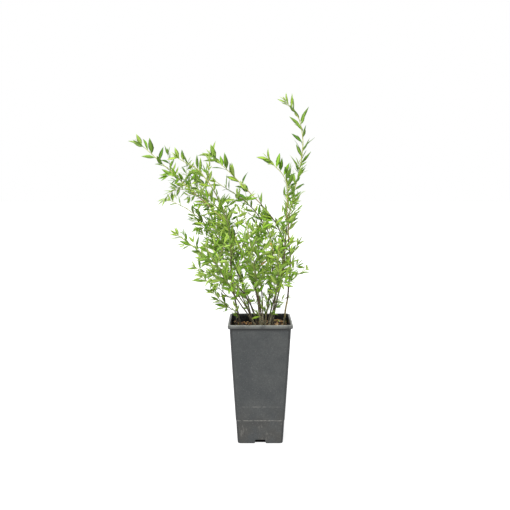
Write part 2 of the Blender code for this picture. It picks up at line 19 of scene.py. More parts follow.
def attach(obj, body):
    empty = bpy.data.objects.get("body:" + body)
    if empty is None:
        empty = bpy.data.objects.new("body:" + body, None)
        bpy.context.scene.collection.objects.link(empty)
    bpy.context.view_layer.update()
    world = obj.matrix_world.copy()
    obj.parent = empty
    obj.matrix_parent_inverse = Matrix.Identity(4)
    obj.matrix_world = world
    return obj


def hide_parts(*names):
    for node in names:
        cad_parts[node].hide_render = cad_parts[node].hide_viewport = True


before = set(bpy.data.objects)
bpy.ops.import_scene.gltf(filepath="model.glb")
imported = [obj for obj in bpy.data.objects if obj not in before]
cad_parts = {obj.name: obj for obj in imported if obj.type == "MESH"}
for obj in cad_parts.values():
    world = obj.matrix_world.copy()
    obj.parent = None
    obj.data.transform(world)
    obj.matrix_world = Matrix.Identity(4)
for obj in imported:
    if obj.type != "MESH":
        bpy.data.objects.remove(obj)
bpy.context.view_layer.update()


# Pot: a thin-walled square tub of recycled polypropylene, injection moulded in one piece. A rounded
# collar stiffens its mouth, a small step runs round it where stacked pots stop, and it stands on a
# low ring with a water notch in the middle of each side and four drain holes.
POT_HEIGHT = 0.233
COLLAR_WIDTH = 0.1219
COLLAR_FOOT = 0.2255
COLLAR_WAVE = 0.0004
COLLAR_WAVES_PER_METRE = 60
BODY_TOP_WIDTH = 0.1153
BODY_FOOT_WIDTH = 0.0878
WALL = 0.0016
SIDE_BOW = 0.0006
FLOOR_TOP = 0.0078
BASE_WIDTH = 0.0700
BASE_HEIGHT = 0.0050
BASE_CORNER = 0.0047
CORNER_STEPS = 6
SIDE_CUTS = 9
STEP_HEIGHT = 0.0460
STEP_INSET = 0.0005
NEST_MARK_HEIGHT = 0.0736
NOTCH_TOP_WIDTH = 0.0190
NOTCH_FOOT_WIDTH = 0.0240
NOTCH_HEIGHT = 0.0078
NOTCH_DEPTH = 0.0078
NOTCH_ROUNDING = 0.0012
DRAIN_RADIUS = 0.004
DRAIN_OFFSET = 0.023
DRAIN_CUT = 0.03
DRAIN_SIDES = 24
# Faces that one call adds come in no set order, so they are sorted along this direction.
FACE_ORDER = Vector((1.0, 0.7134, 17.31))

# The wall is drawn up and back down inside, ring by ring. A foot ring is a width and a height, and
# a collar ring an inset and a height.
FOOT_WIDTH = BODY_FOOT_WIDTH - 2 * STEP_INSET
FOOT_RINGS = ((0.0710, 0.0008), (0.0723, 0.0), (FOOT_WIDTH - 0.0028, 0.0),
              (FOOT_WIDTH - 0.0010, 0.0005), (FOOT_WIDTH, 0.0018))
BELOW_STEP = (0.008, 0.020, 0.032, STEP_HEIGHT - 0.0008)
ABOVE_STEP = (STEP_HEIGHT, STEP_HEIGHT + 0.0006, 0.060, 0.080, 0.100, 0.120, 0.140, 0.160, 0.180,
              0.200, 0.215, COLLAR_FOOT)
COLLAR_RINGS = ((0.0020, 0.2256), (0.0005, 0.2259), (0.0, 0.2266), (0.0, 0.2306), (0.0005, 0.2318),
                (0.0015, 0.2326), (0.0030, 0.2330), (0.0066, 0.2330), (0.0084, 0.2326), (0.0094, 0.2316))
DOWN_INSIDE = (0.2290, 0.222, 0.214, 0.200, 0.150, 0.100, 0.050, FLOOR_TOP)
INSET_BELOW = 0.1

PLASTIC_GREY = (0.0303, 0.0337, 0.0347)
PLASTIC_WORN = (0.0435, 0.0465, 0.0460)
PLASTIC_EARTHY = (0.0358, 0.0353, 0.0318)
# Dark plastic, used for the real specks and also as painted shade.
PLASTIC_DARK = (0.010, 0.011, 0.012)
# Paler grey for the painted highlight on the collar.
COLLAR_HIGHLIGHT_GREY = (0.135, 0.139, 0.128)
SCUFF_GREY = (0.230, 0.222, 0.200)
# Near-black painted shade for the inside of the notches, with a slightly paler grain.
NOTCH_SHADE = (0.003, 0.003, 0.003)
NOTCH_SHADE_GRAIN = (0.006, 0.006, 0.005)
PLASTIC_SPECULAR = 0.38
EARTHY_FROM, EARTHY_TO = 0.010, 0.095
# Worn lines round the pot: height, half width, patches to the metre and strength.
WORN_LINES = ((STEP_HEIGHT, 0.0006, 130, 0.55), (NEST_MARK_HEIGHT, 0.0005, 90, 0.28))


def add_object(name, data):
    made = bpy.data.objects.new(name, data)
    bpy.context.scene.collection.objects.link(made)
    return made


def new_object(bm, name):
    """The finished bmesh as an object at the origin, its faces in a set order and turned outwards."""
    bm.edges.sort(key=lambda edge: (edge.verts[0].co + edge.verts[1].co).dot(FACE_ORDER))
    bm.faces.sort(key=lambda face: face.calc_center_median().dot(FACE_ORDER))
    bmesh.ops.recalc_face_normals(bm, faces=bm.faces)
    mesh = bpy.data.meshes.new(name)
    bm.to_mesh(mesh)
    bm.free()
    return add_object(name, mesh)


def body_width(height):
    """Outer width of the tapering wall at a height."""
    return BODY_FOOT_WIDTH + (BODY_TOP_WIDTH - BODY_FOOT_WIDTH) * height / COLLAR_FOOT


def rounded_square(bm, width, corner, height):
    """A flat face with rounded corners, its long sides cut so that they can bow."""
    bmesh.ops.create_grid(bm, x_segments=1, y_segments=1, size=width / 2)
    bmesh.ops.bevel(bm, geom=bm.verts[:], offset=corner, segments=CORNER_STEPS, profile=0.5,
                    affect="VERTICES", material=-1)
    long_sides = [edge for edge in bm.edges if edge.calc_length() > corner * 2]
    bmesh.ops.subdivide_edges(bm, edges=long_sides, cuts=SIDE_CUTS)
    bmesh.ops.translate(bm, verts=bm.verts, vec=(0, 0, height))
    return bm.edges[:]


def draw_wall(bm, mouth, width, height):
    """Carries the open edge of the tub on to a new width and height."""
    drawn = bmesh.ops.extrude_edge_only(bm, edges=mouth)["geom"]
    verts = [item for item in drawn if isinstance(item, bmesh.types.BMVert)]
    share = width / 2 / max(vert.co.x for vert in verts)
    bmesh.ops.scale(bm, verts=verts, vec=(share, share, 1))
    bmesh.ops.translate(bm, verts=verts, vec=(0, 0, height - verts[0].co.z))
    return [item for item in drawn if isinstance(item, bmesh.types.BMEdge)]


pot_bm = bmesh.new()
mouth = rounded_square(pot_bm, BASE_WIDTH, BASE_CORNER, BASE_HEIGHT)
rings = list(FOOT_RINGS)
rings += [(body_width(height) - 2 * STEP_INSET, height) for height in BELOW_STEP]
rings += [(body_width(height), height) for height in ABOVE_STEP]
rings += [(COLLAR_WIDTH - inset, height) for inset, height in COLLAR_RINGS]
rings += [(body_width(height) - 2 * (WALL + STEP_INSET * (height < INSET_BELOW)), height)
          for height in DOWN_INSIDE]
for width, height in rings:
    mouth = draw_wall(pot_bm, mouth, width, height)
bmesh.ops.holes_fill(pot_bm, edges=mouth, sides=0)
for vert in pot_bm.verts:
    across, out = sorted((abs(vert.co.x), abs(vert.co.y)))
    rise = (vert.co.z - STEP_HEIGHT) / (COLLAR_FOOT - STEP_HEIGHT)
    if 0 < rise < 1:
        bow = SIDE_BOW * math.sin(math.pi * rise) * max(0, 1 - (across / out) ** 2)
        vert.co.xy *= 1 + bow / out
    if vert.co.z > COLLAR_FOOT:
        vert.co.z += COLLAR_WAVE * noise.noise(vert.co * COLLAR_WAVES_PER_METRE) - COLLAR_WAVE * 0.5
pot = new_object(pot_bm, "nursery_pot")

cutters = []
for number in range(4):
    turn = Matrix.Rotation(number * math.pi / 2, 4, "Z")
    notch_bm = bmesh.new()
    bmesh.ops.create_cube(notch_bm, size=1)
    for vert in notch_bm.verts:
        width = NOTCH_TOP_WIDTH if vert.co.z > 0 else NOTCH_FOOT_WIDTH
        vert.co = Vector((vert.co.x * width, vert.co.y * 2 * NOTCH_DEPTH, vert.co.z * 2 * NOTCH_HEIGHT))
    upper = [edge for edge in notch_bm.edges if all(vert.co.z > 0 for vert in edge.verts)]
    bmesh.ops.bevel(notch_bm, geom=upper, offset=NOTCH_ROUNDING, segments=3, profile=0.5,
                    affect="EDGES", material=-1)
    bmesh.ops.translate(notch_bm, verts=notch_bm.verts, vec=(0, -BODY_FOOT_WIDTH / 2, 0))
    bmesh.ops.transform(notch_bm, matrix=turn, verts=notch_bm.verts)
    cutters.append(new_object(notch_bm, f"notch_{number}"))
    drain_bm = bmesh.new()
    bmesh.ops.create_cone(drain_bm, cap_ends=True, segments=DRAIN_SIDES, radius1=DRAIN_RADIUS,
                          radius2=DRAIN_RADIUS, depth=DRAIN_CUT,
                          matrix=turn @ Matrix.Translation((DRAIN_OFFSET, DRAIN_OFFSET, 0)))
    cutters.append(new_object(drain_bm, f"drain_{number}"))
for cutter in cutters:
    cut = pot.modifiers.new(cutter.name, "BOOLEAN")
    cut.operation = "DIFFERENCE"
    cut.solver = "EXACT"
    cut.object = cutter
graph = bpy.context.evaluated_depsgraph_get()
cut_mesh = bpy.data.meshes.new_from_object(pot.evaluated_get(graph))
pot.modifiers.clear()
pot.data = cut_mesh
for cutter in cutters:
    bpy.data.objects.remove(cutter, do_unlink=True)


def shade_smooth(piece, crease):
    """Smooth shading that breaks at edges sharper than crease degrees."""
    piece.data.shade_smooth()
    piece.data.set_sharp_from_angle(angle=math.radians(crease))


class Finish:
    """A procedural material with patterns on Object coordinates. Values may be sockets or plain."""

    def __init__(self, name, roughness, colour):
        self.material = bpy.data.materials.new(name)
        self.material.use_nodes = True
        self.nodes = self.material.node_tree.nodes
        self.links = self.material.node_tree.links
        self.shader = self.nodes["Principled BSDF"]
        self.colour = colour
        self.set("Base Color", colour)
        self.set("Roughness", roughness)

    def feed(self, socket, value):
        """Links a socket to the value, or sets it to a plain number or colour."""
        if isinstance(value, bpy.types.NodeSocket):
            self.links.new(value, socket)
        else:
            socket.default_value = (*value, 1) if isinstance(value, tuple) else value

    def set(self, name, value):
        """Feeds one of the surface's own sockets."""
        self.feed(self.shader.inputs[name], value)

    def place(self):
        place = self.nodes.new("ShaderNodeTexCoord")
        return place.outputs["Object"]

    def pattern(self, scale, detail=3.0, stretch=(1, 1, 1)):
        """Noise with scale cells to the metre."""
        mapping = self.nodes.new("ShaderNodeMapping")
        mapping.inputs["Scale"].default_value = stretch
        self.links.new(self.place(), mapping.inputs["Vector"])
        made = self.nodes.new("ShaderNodeTexNoise")
        made.inputs["Scale"].default_value = scale
        made.inputs["Detail"].default_value = detail
        self.links.new(mapping.outputs["Vector"], made.inputs["Vector"])
        return made.outputs["Fac"]

    def window(self, source, low, high):
        """0 below low, 1 above high, and a smooth rise between."""
        rise = self.nodes.new("ShaderNodeMapRange")
        rise.interpolation_type = "SMOOTHSTEP"
        rise.inputs["From Min"].default_value = low
        rise.inputs["From Max"].default_value = high
        self.links.new(source, rise.inputs["Value"])
        return rise.outputs["Result"]

    def patches(self, low, high, scale, detail=3.0, stretch=(1, 1, 1)):
        """Soft-edged patches, where the noise passes low and high."""
        return self.window(self.pattern(scale, detail, stretch), low, high)

    def maths(self, operation, first, second=0.0):
        step = self.nodes.new("ShaderNodeMath")
        step.operation = operation
        self.feed(step.inputs[0], first)
        self.feed(step.inputs[1], second)
        return step.outputs["Value"]

    def product(self, first, second):
        return self.maths("MULTIPLY", first, second)

    def inverse(self, share):
        return self.maths("SUBTRACT", 1.0, share)

    def coat(self, tone, share, strength=None):
        """Lays a colour over the ones before it, by a share that strength makes thinner."""
        mix = self.nodes.new("ShaderNodeMix")
        mix.data_type = "RGBA"
        factor, below, above = mix.inputs[0], mix.inputs[6], mix.inputs[7]
        self.feed(factor, self.product(share, strength) if strength else share)
        self.feed(below, self.colour)
        self.feed(above, tone)
        self.colour = mix.outputs[2]
        self.set("Base Color", self.colour)

    def relief(self, height, distance, strength):
        bump = self.nodes.new("ShaderNodeBump")
        bump.inputs["Distance"].default_value = distance
        bump.inputs["Strength"].default_value = strength
        self.links.new(height, bump.inputs["Height"])
        self.set("Normal", bump.outputs["Normal"])


plastic = Finish("moulded_plastic", 0.55, PLASTIC_GREY)
plastic.set("Specular IOR Level", PLASTIC_SPECULAR)
axes = plastic.nodes.new("ShaderNodeSeparateXYZ")
plastic.links.new(plastic.place(), axes.inputs["Vector"])
height = axes.outputs["Z"]
cloud = plastic.pattern(26, 4)
plastic.coat(PLASTIC_WORN, plastic.window(cloud, 0.35, 0.72))
low_down = plastic.inverse(plastic.window(height, EARTHY_FROM, EARTHY_TO))
earth = plastic.product(low_down, plastic.patches(0.30, 0.65, 38))
plastic.coat(PLASTIC_EARTHY, earth)
plastic.coat(PLASTIC_DARK, plastic.patches(0.40, 0.60, 330, 2), 0.22)
plastic.coat(SCUFF_GREY, plastic.patches(0.66, 0.74, 640, 1), 0.22)
flecks = plastic.patches(0.50, 0.66, 300, 2, (1, 1, 0.45))
rubbed = plastic.product(plastic.product(flecks, plastic.patches(0.50, 0.66, 44, 1)), low_down)
plastic.coat(SCUFF_GREY, rubbed, 0.20)
for line, half_band, scale, strength in WORN_LINES:
    from_below = plastic.window(height, line - 2 * half_band, line - half_band)
    to_above = plastic.window(height, line + half_band, line + 2 * half_band)
    band = plastic.maths("SUBTRACT", from_below, to_above)
    plastic.coat(SCUFF_GREY, plastic.product(band, plastic.patches(0.36, 0.62, scale, 2)), strength)

# Shares of the half width at each height: how near a point is to a corner, and to a wall's face.
widening = plastic.product(height, (BODY_TOP_WIDTH - BODY_FOOT_WIDTH) / COLLAR_FOOT / 2)
half_width = plastic.maths("ADD", BODY_FOOT_WIDTH / 2, widening)
from_middle = [plastic.maths("ABSOLUTE", axes.outputs[axis]) for axis in ("X", "Y")]
to_corner = plastic.maths("DIVIDE", plastic.maths("MINIMUM", *from_middle), half_width)
to_face = plastic.maths("DIVIDE", plastic.maths("MAXIMUM", *from_middle), half_width)
# Painted shade: the rounded corners are darkened where they turn away from the light.
plastic.coat(PLASTIC_DARK, plastic.window(to_corner, 0.88, 0.98), 0.65)
# Painted shade: the inner walls of the tub are darkened, as if shaded by the mouth.
inside = plastic.inverse(plastic.window(to_face, 0.972, 0.984))
plastic.coat(PLASTIC_DARK, inside, 0.9)
# Painted shadow: a dark band just under the collar's overhang. The mask stays on above it, where the collar's
# paler coat covers it.
painted_shadow_under_collar = plastic.window(height, COLLAR_FOOT - 0.0040, COLLAR_FOOT - 0.0010)
plastic.coat(PLASTIC_DARK, painted_shadow_under_collar, 0.9)
# Painted highlight: the collar's top, and more thinly its side, are paler grey as if lit from above, broken
# into patches.
collar_side_highlight = plastic.product(plastic.window(height, COLLAR_FOOT + 0.0010, COLLAR_FOOT + 0.0022), 0.55)
collar_top_highlight = plastic.window(height, POT_HEIGHT - 0.0034, POT_HEIGHT - 0.0008)
collar = plastic.maths("MAXIMUM", collar_side_highlight, collar_top_highlight)
plastic.coat(COLLAR_HIGHLIGHT_GREY, plastic.product(collar, plastic.patches(0.10, 0.52, 70, 4)))
# Painted shade: the inner face of the mouth, just inside and below the rim, is darkened further.
painted_shade_in_mouth = plastic.maths("SUBTRACT", plastic.window(height, 0.200, 0.210), plastic.window(to_face, 0.986, 0.994))
plastic.coat(PLASTIC_DARK, plastic.maths("MAXIMUM", painted_shade_in_mouth, 0.0), 0.85)
plastic.set("Roughness", plastic.window(plastic.maths("ADD", cloud, 0.38), 0.2, 1.9))
plastic.relief(plastic.pattern(620, 3), 0.0004, 0.35)

# Painted shade: the faces cut by the water notches get a near-black material without specular reflection, in
# place of the shadow under the pot.
notch_shade_finish = Finish("painted_shade_in_the_notches", 0.95, NOTCH_SHADE)
notch_shade_finish.set("Specular IOR Level", 0.0)
notch_shade_finish.coat(NOTCH_SHADE_GRAIN, notch_shade_finish.patches(0.40, 0.60, 330, 2))
NOTCH_MARGIN = 0.0001
OUTER_SKIN = 0.0010
notch_half = (NOTCH_TOP_WIDTH + NOTCH_FOOT_WIDTH) / 4 + NOTCH_MARGIN
notch_back = BODY_FOOT_WIDTH / 2 - NOTCH_DEPTH - NOTCH_MARGIN
pot.data.materials.clear()
pot.data.materials.append(plastic.material)
pot.data.materials.append(notch_shade_finish.material)
# The faces inside the notch cuts take the painted shade.
for face in pot.data.polygons:
    across, out = sorted((abs(face.center.x), abs(face.center.y)))
    behind_skin = notch_back < out < FOOT_WIDTH / 2 - OUTER_SKIN
    is_cut = across < notch_half and behind_skin and face.center.z < NOTCH_HEIGHT + NOTCH_MARGIN
    face.material_index = 1 if is_cut else 0
shade_smooth(pot, 40)
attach(pot, "root")
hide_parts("pot")


# Compost: moist dark peat and composted bark, poured in up to 17 mm below the rim, with coarse
# pine bark chips and a few dry scraps lying on top. Each heap is its middle, reach and rise.
SOIL_TOP = 0.216
SOIL_GAP = 0.0003
SOIL_CELLS = 64
SOIL_RELIEF = 0.00176
SOIL_SETTLED = 0.0008
SOIL_CORNER = 0.0052
SOIL_EDGE_DROP = 0.0010
SOIL_EDGE_FROM = 0.8
SOIL_DARK = (0.010, 0.007, 0.005)
SOIL_BROWN = (0.060, 0.032, 0.017)
HEAPS = ((0.036, 0.042, 0.023, 0.0054), (-0.050, 0.034, 0.011, 0.0046), (0.002, 0.050, 0.018, 0.0015))
HEAPED_ABOVE = SOIL_TOP + 0.0022
CHIPS = 620
CHIP_SEED = 41
CHIPS_PER_HEAPED = 5
CHIP_LENGTHS = (0.0026, 0.0074)
CHIP_WIDTHS = (0.30, 0.62)
CHIP_HEIGHTS = (0.12, 0.28)
CHIP_LIFTS = (0.0002, 0.0016)
CHIP_FROM_WALL = 0.0045
CHIP_TORN = 0.17
CHIP_COLOURS = ((0.580, 0.320, 0.130), (0.700, 0.480, 0.250), (0.210, 0.105, 0.045),
                (0.800, 0.660, 0.440), (0.080, 0.044, 0.024), (0.560, 0.600, 0.130))
CHIPS_ON_HEAP = (0.32, 0.22, 0.16, 0.15, 0.12, 0.03)
CHIPS_BETWEEN = (0.12, 0.06, 0.32, 0.03, 0.46, 0.01)

soil_width = body_width(SOIL_TOP) - 2 * (WALL + SOIL_GAP)


def soil_height(x, y):
    """Relief of the compost: lumps and heaps, a little lower along the pot's wall."""
    lumps = noise.noise(Vector((x * 60, y * 60, 0.3))) + 0.55 * noise.noise(Vector((x * 170, y * 170, 4.1)))
    near_wall = max(0, max(abs(x), abs(y)) / (soil_width / 2) - SOIL_EDGE_FROM) / (1 - SOIL_EDGE_FROM)
    heaped = sum(rise * math.exp(-((x - mid_x) ** 2 + (y - mid_y) ** 2) / reach**2)
                 for mid_x, mid_y, reach, rise in HEAPS)
    return SOIL_TOP - SOIL_SETTLED + SOIL_RELIEF * lumps + heaped - SOIL_EDGE_DROP * near_wall


soil_bm = bmesh.new()
bmesh.ops.create_grid(soil_bm, x_segments=SOIL_CELLS, y_segments=SOIL_CELLS, size=soil_width / 2)
rim_edges = [edge for edge in soil_bm.edges if edge.is_boundary]
straight = soil_width / 2 - SOIL_CORNER
for vert in soil_bm.verts:
    past = Vector((max(0, abs(vert.co.x) - straight), max(0, abs(vert.co.y) - straight)))
    if past.x and past.y:
        past *= max(past) / past.length
        vert.co.x = math.copysign(straight + past.x, vert.co.x)
        vert.co.y = math.copysign(straight + past.y, vert.co.y)
    vert.co.z = soil_height(vert.co.x, vert.co.y)
drawn = bmesh.ops.extrude_edge_only(soil_bm, edges=rim_edges)["geom"]
lower = [item for item in drawn if isinstance(item, bmesh.types.BMVert)]
foot = FLOOR_TOP + SOIL_GAP
share = (body_width(foot) - 2 * (WALL + STEP_INSET + SOIL_GAP)) / soil_width
bmesh.ops.scale(soil_bm, verts=lower, vec=(share, share, 0))
bmesh.ops.translate(soil_bm, verts=lower, vec=(0, 0, foot))
open_edges = [item for item in drawn if isinstance(item, bmesh.types.BMEdge)]
bmesh.ops.holes_fill(soil_bm, edges=open_edges, sides=0)
compost = new_object(soil_bm, "compost_fill")
peat = Finish("moist_peat", 0.92, SOIL_DARK)
crumbs = peat.pattern(420, 6)
peat.coat(SOIL_BROWN, peat.window(crumbs, 0.38, 0.66))
peat.relief(crumbs, 0.0016, 0.9)
compost.data.materials.append(peat.material)
shade_smooth(compost, 70)
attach(compost, "root")
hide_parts("soil")


class JoinedPieces:
    """Many like pieces, kept as lists of points and faces until they become one mesh."""

    def __init__(self):
        self.points = []
        self.faces = []
        self.slots = []

    def add(self, points, faces, slots):
        start = len(self.points)
        self.points.extend(points)
        self.faces.extend([start + corner for corner in face] for face in faces)
        self.slots.extend(slots)

    def to_object(self, name, finishes):
        mesh = bpy.data.meshes.new(name)
        mesh.from_pydata(self.points, [], self.faces)
        for finish in finishes:
            mesh.materials.append(finish.material)
        mesh.polygons.foreach_set("material_index", self.slots)
        return add_object(name, mesh)


chip_bm = bmesh.new()
bmesh.ops.create_cube(chip_bm, size=1)
bmesh.ops.bevel(chip_bm, geom=chip_bm.edges[:], offset=0.16, segments=1, profile=0.5, affect="EDGES",
                material=-1)
bmesh.ops.recalc_face_normals(chip_bm, faces=chip_bm.faces)
chip_points = [vert.co.copy() for vert in chip_bm.verts]
chip_faces = [[vert.index for vert in face.verts] for face in chip_bm.faces]
chip_bm.free()
rng = random.Random(CHIP_SEED)
# Vector noise starts from the clock unless it is seeded. The wander of the stems uses it too.
noise.seed_set(CHIP_SEED)
reach = soil_width / 2 - CHIP_FROM_WALL
chips = JoinedPieces()
for chip in range(CHIPS):
    length = rng.uniform(*CHIP_LENGTHS) * rng.uniform(0.6, 1.0)
    wide, high = (length * rng.uniform(*spread) for spread in (CHIP_WIDTHS, CHIP_HEIGHTS))
    size = Matrix.Diagonal((length, wide, high, 1))
    x, y = rng.uniform(-reach, reach), reach * (1 - 2 * rng.random() ** 1.6)
    if chip % CHIPS_PER_HEAPED == 0:
        mid_x, mid_y, spread, rise = HEAPS[0 if chip % (4 * CHIPS_PER_HEAPED) else 1]
        x, y = (max(-reach, min(reach, rng.gauss(middle, spread * 0.75))) for middle in (mid_x, mid_y))
    kinds = CHIPS_ON_HEAP if soil_height(x, y) > HEAPED_ABOVE else CHIPS_BETWEEN
    kind = rng.choices(range(len(CHIP_COLOURS)), weights=kinds)[0]
    tilt = Matrix.Rotation(rng.gauss(0, 0.32), 4, "X") @ Matrix.Rotation(rng.gauss(0, 0.26), 4, "Y")
    turn = Matrix.Rotation(rng.uniform(0, math.tau), 4, "Z") @ tilt
    lie = Matrix.Translation((x, y, soil_height(x, y) + rng.uniform(*CHIP_LIFTS))) @ turn @ size
    torn = Vector((rng.uniform(0, 50), 0, 0))
    points = [lie @ (point + CHIP_TORN * noise.noise_vector(point * 1.7 + torn)) for point in chip_points]
    chips.add(points, chip_faces, [kind] * len(chip_faces))
chip_finishes = []
for number, tone in enumerate(CHIP_COLOURS):
    chip_finish = Finish(f"bark_chip_{number}", 0.85, tuple(value * 0.55 for value in tone))
    grain = chip_finish.pattern(700, 4)
    chip_finish.coat(tone, chip_finish.window(grain, 0.30, 0.54))
    chip_finish.relief(grain, 0.0005, 0.6)
    chip_finishes.append(chip_finish)
bark_chips = chips.to_object("bark_chips", chip_finishes)
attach(bark_chips, "root")
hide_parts("soil")


# Shoots: thin woody stems that rise from the compost and arch over to the left. The bark is dark
# grey-brown and speckled at the foot, red-brown higher up and yellow-green on this year's growth,
# with a knuckle at each node. Lengths along a shoot are counted in steps of its line.
TIP_RADIUS = 0.0006
SLIMMER = 0.82
TAPER_POWER = 0.8
FLARE = 0.10
FLARE_HEIGHT = 0.010
FOOT_UPRIGHT = 0.35
LINE_STEP = 0.002
CURVE_STEPS = 80
TANGENT_REACH = 2
SUNK_IN_SOIL = 0.004
STEM_FOOT = SOIL_TOP + SOIL_GAP
NODE_POINTS = 5
FIRST_NODE = 5
LAST_NODE = 4
STEM_SIDES = 10
KNUCKLE = 0.20
BARE_KNUCKLE_POINTS = 8
BARK_RIDGES = 0.05
STEM_WANDER = 0.0011
STEM_WANDERS_PER_METRE = 42

# A shoot: name, place on the compost, bends, tip, radius at the foot, height where leaves start,
# share of its leafy part with side twigs, length of those twigs, and seed of its random numbers.
Route = namedtuple("Route", "name foot bends tip girth bare branched twig seed")
ROUTES = (
    Route("left_long", (0.001, 0.010),
          ((-0.012, 0.010, 0.300), (-0.062, 0.018, 0.411), (-0.150, 0.030, 0.496)),
          (-0.235, 0.040, 0.573), 0.0025, 0.288, 0.80, 0.060, 11),
    Route("left_high", (-0.039, 0.005),
          ((-0.054, -0.014, 0.310), (-0.061, -0.031, 0.420), (-0.105, -0.048, 0.510)),
          (-0.150, -0.060, 0.540), 0.0023, 0.296, 0.80, 0.056, 12),
    Route("upper_left", (-0.013, 0.016),
          ((-0.036, 0.028, 0.300), (-0.078, 0.052, 0.430)),
          (-0.128, 0.070, 0.515), 0.0018, 0.292, 0.75, 0.046, 13),
    Route("crossing", (0.016, 0.021),
          ((0.044, 0.040, 0.335), (0.038, 0.050, 0.405), (-0.025, 0.063, 0.482)),
          (-0.098, 0.075, 0.553), 0.0020, 0.284, 0.32, 0.046, 14),
    Route("middle", (0.010, 0.006),
          ((0.024, -0.008, 0.340), (0.016, -0.015, 0.400), (-0.022, -0.022, 0.455)),
          (-0.086, -0.032, 0.500), 0.0018, 0.280, 0.78, 0.048, 15),
    Route("right_tall", (0.047, 0.018),
          ((0.059, 0.014, 0.330), (0.055, 0.014, 0.421), (0.080, 0.004, 0.556), (0.074, 0.000, 0.612)),
          (0.047, -0.004, 0.648), 0.0021, 0.322, 0.50, 0.032, 16),
    Route("right_inner", (0.024, 0.006),
          ((0.043, -0.012, 0.330), (0.050, -0.026, 0.440), (0.047, -0.032, 0.500)),
          (0.012, -0.042, 0.541), 0.0018, 0.292, 0.72, 0.040, 17),
    Route("lower_left", (-0.003, -0.001),
          ((-0.029, -0.028, 0.285), (-0.080, -0.064, 0.345)),
          (-0.150, -0.092, 0.405), 0.0019, 0.266, 0.66, 0.052, 18),
    Route("left_low", (-0.010, 0.005),
          ((-0.043, 0.000, 0.280), (-0.086, -0.011, 0.316)),
          (-0.124, -0.018, 0.336), 0.0017, 0.262, 0.76, 0.044, 28),
    Route("left_back", (-0.006, 0.024),
          ((-0.031, 0.050, 0.285), (-0.078, 0.084, 0.375), (-0.140, 0.104, 0.436)),
          (-0.188, 0.114, 0.462), 0.0019, 0.272, 0.74, 0.056, 19),
    Route("front_middle", (0.005, -0.007),
          ((-0.004, -0.042, 0.290), (-0.014, -0.068, 0.362)),
          (-0.030, -0.096, 0.440), 0.0017, 0.274, 0.80, 0.050, 20),
    Route("front_left", (-0.011, -0.009),
          ((-0.046, -0.052, 0.285),),
          (-0.096, -0.132, 0.386), 0.0017, 0.268, 0.80, 0.052, 21),
    Route("front_right", (0.018, -0.004),
          ((0.030, -0.038, 0.290),),
          (0.032, -0.116, 0.392), 0.0017, 0.272, 0.80, 0.046, 22),
    Route("back_middle", (0.006, 0.027),
          ((0.003, 0.062, 0.290),),
          (-0.010, 0.116, 0.440), 0.0018, 0.276, 0.80, 0.052, 23),
    Route("back_left", (-0.014, 0.029),
          ((-0.044, 0.070, 0.280),),
          (-0.100, 0.140, 0.376), 0.0017, 0.268, 0.80, 0.054, 24),
    Route("back_right", (0.022, 0.030),
          ((0.042, 0.062, 0.290),),
          (0.054, 0.122, 0.394), 0.0018, 0.276, 0.80, 0.044, 25),
    Route("sprout_left", (-0.044, -0.020), (), (-0.047, -0.030, 0.262), 0.0010, 0.228, 0.0, 0.0, 26),
    Route("sprout_middle", (0.008, 0.016), (), (0.014, 0.016, 0.254), 0.0009, 0.226, 0.0, 0.0, 27),
)

# A side shoot leaves the bare stem of its carrier at a height.
SideRoute = namedtuple("SideRoute", "name carrier height bends tip girth branched twig seed")
SIDE_ROUTES = (
    SideRoute("low_left_front", "left_high", 0.252, ((-0.072, -0.018, 0.270),),
              (-0.090, -0.030, 0.290), 0.0010, 0.75, 0.026, 31),
    SideRoute("low_left", "left_high", 0.276, ((-0.082, -0.028, 0.300),),
              (-0.110, -0.042, 0.320), 0.0011, 0.75, 0.040, 32),
    SideRoute("low_right", "right_tall", 0.306, ((0.074, 0.004, 0.320),),
              (0.088, -0.004, 0.330), 0.0009, 0.0, 0.0, 33),
)


def smooth_line(places, heading):
    """Points LINE_STEP apart on a smooth curve that leaves the first place along heading."""
    places = [Vector(place) for place in places]
    headings = [heading]
    for before, after in zip(places[:-2], places[2:]):
        headings.append((after - before).normalized())
    headings.append((places[-1] - places[-2]).normalized())
    fine = [places[0]]
    for index in range(len(places) - 1):
        start, end = places[index], places[index + 1]
        handle = (end - start).length / 3
        leaving = start + headings[index] * handle
        arriving = end - headings[index + 1] * handle
        fine += interpolate_bezier(start, leaving, arriving, end, CURVE_STEPS)[1:]
    line = [fine[0]]
    for point in fine[1:]:
        while (point - line[-1]).length >= LINE_STEP:
            line.append(line[-1] + (point - line[-1]).normalized() * LINE_STEP)
    return line


class Shoot:
    """One shoot: its line from foot to tip, its thickness, and where its foliage starts."""

    def __init__(self, route, line, leafy_from, flare):
        self.name = route.name
        self.line = line
        self.leafy_from = leafy_from
        self.girth = route.girth
        self.branched = route.branched
        self.twig = route.twig
        self.seed = route.seed
        self.flare = flare

    def radius(self, index):
        left = 1 - index / (len(self.line) - 1)
        swell = 1 + self.flare * math.exp(-index * LINE_STEP / FLARE_HEIGHT)
        return SLIMMER * (TIP_RADIUS + (self.girth * swell - TIP_RADIUS) * left**TAPER_POWER)

    def tangent(self, index):
        before = self.line[max(index - TANGENT_REACH, 0)]
        after = self.line[min(index + TANGENT_REACH, len(self.line) - 1)]
        return (after - before).normalized()

    def leafy_share(self, index):
        return (index - self.leafy_from) / (len(self.line) - 1 - self.leafy_from)

    def is_branched(self, index):
        return self.leafy_share(index) < self.branched

    def nodes(self):
        """The places along the leafy part that carry a twig or a leaf."""
        return enumerate(range(self.leafy_from + FIRST_NODE, len(self.line) - LAST_NODE, NODE_POINTS))

    def draws(self, purpose, number=0):
        """Random numbers for one purpose at one place on this shoot, the same in each run."""
        return random.Random(self.seed * purpose + number)


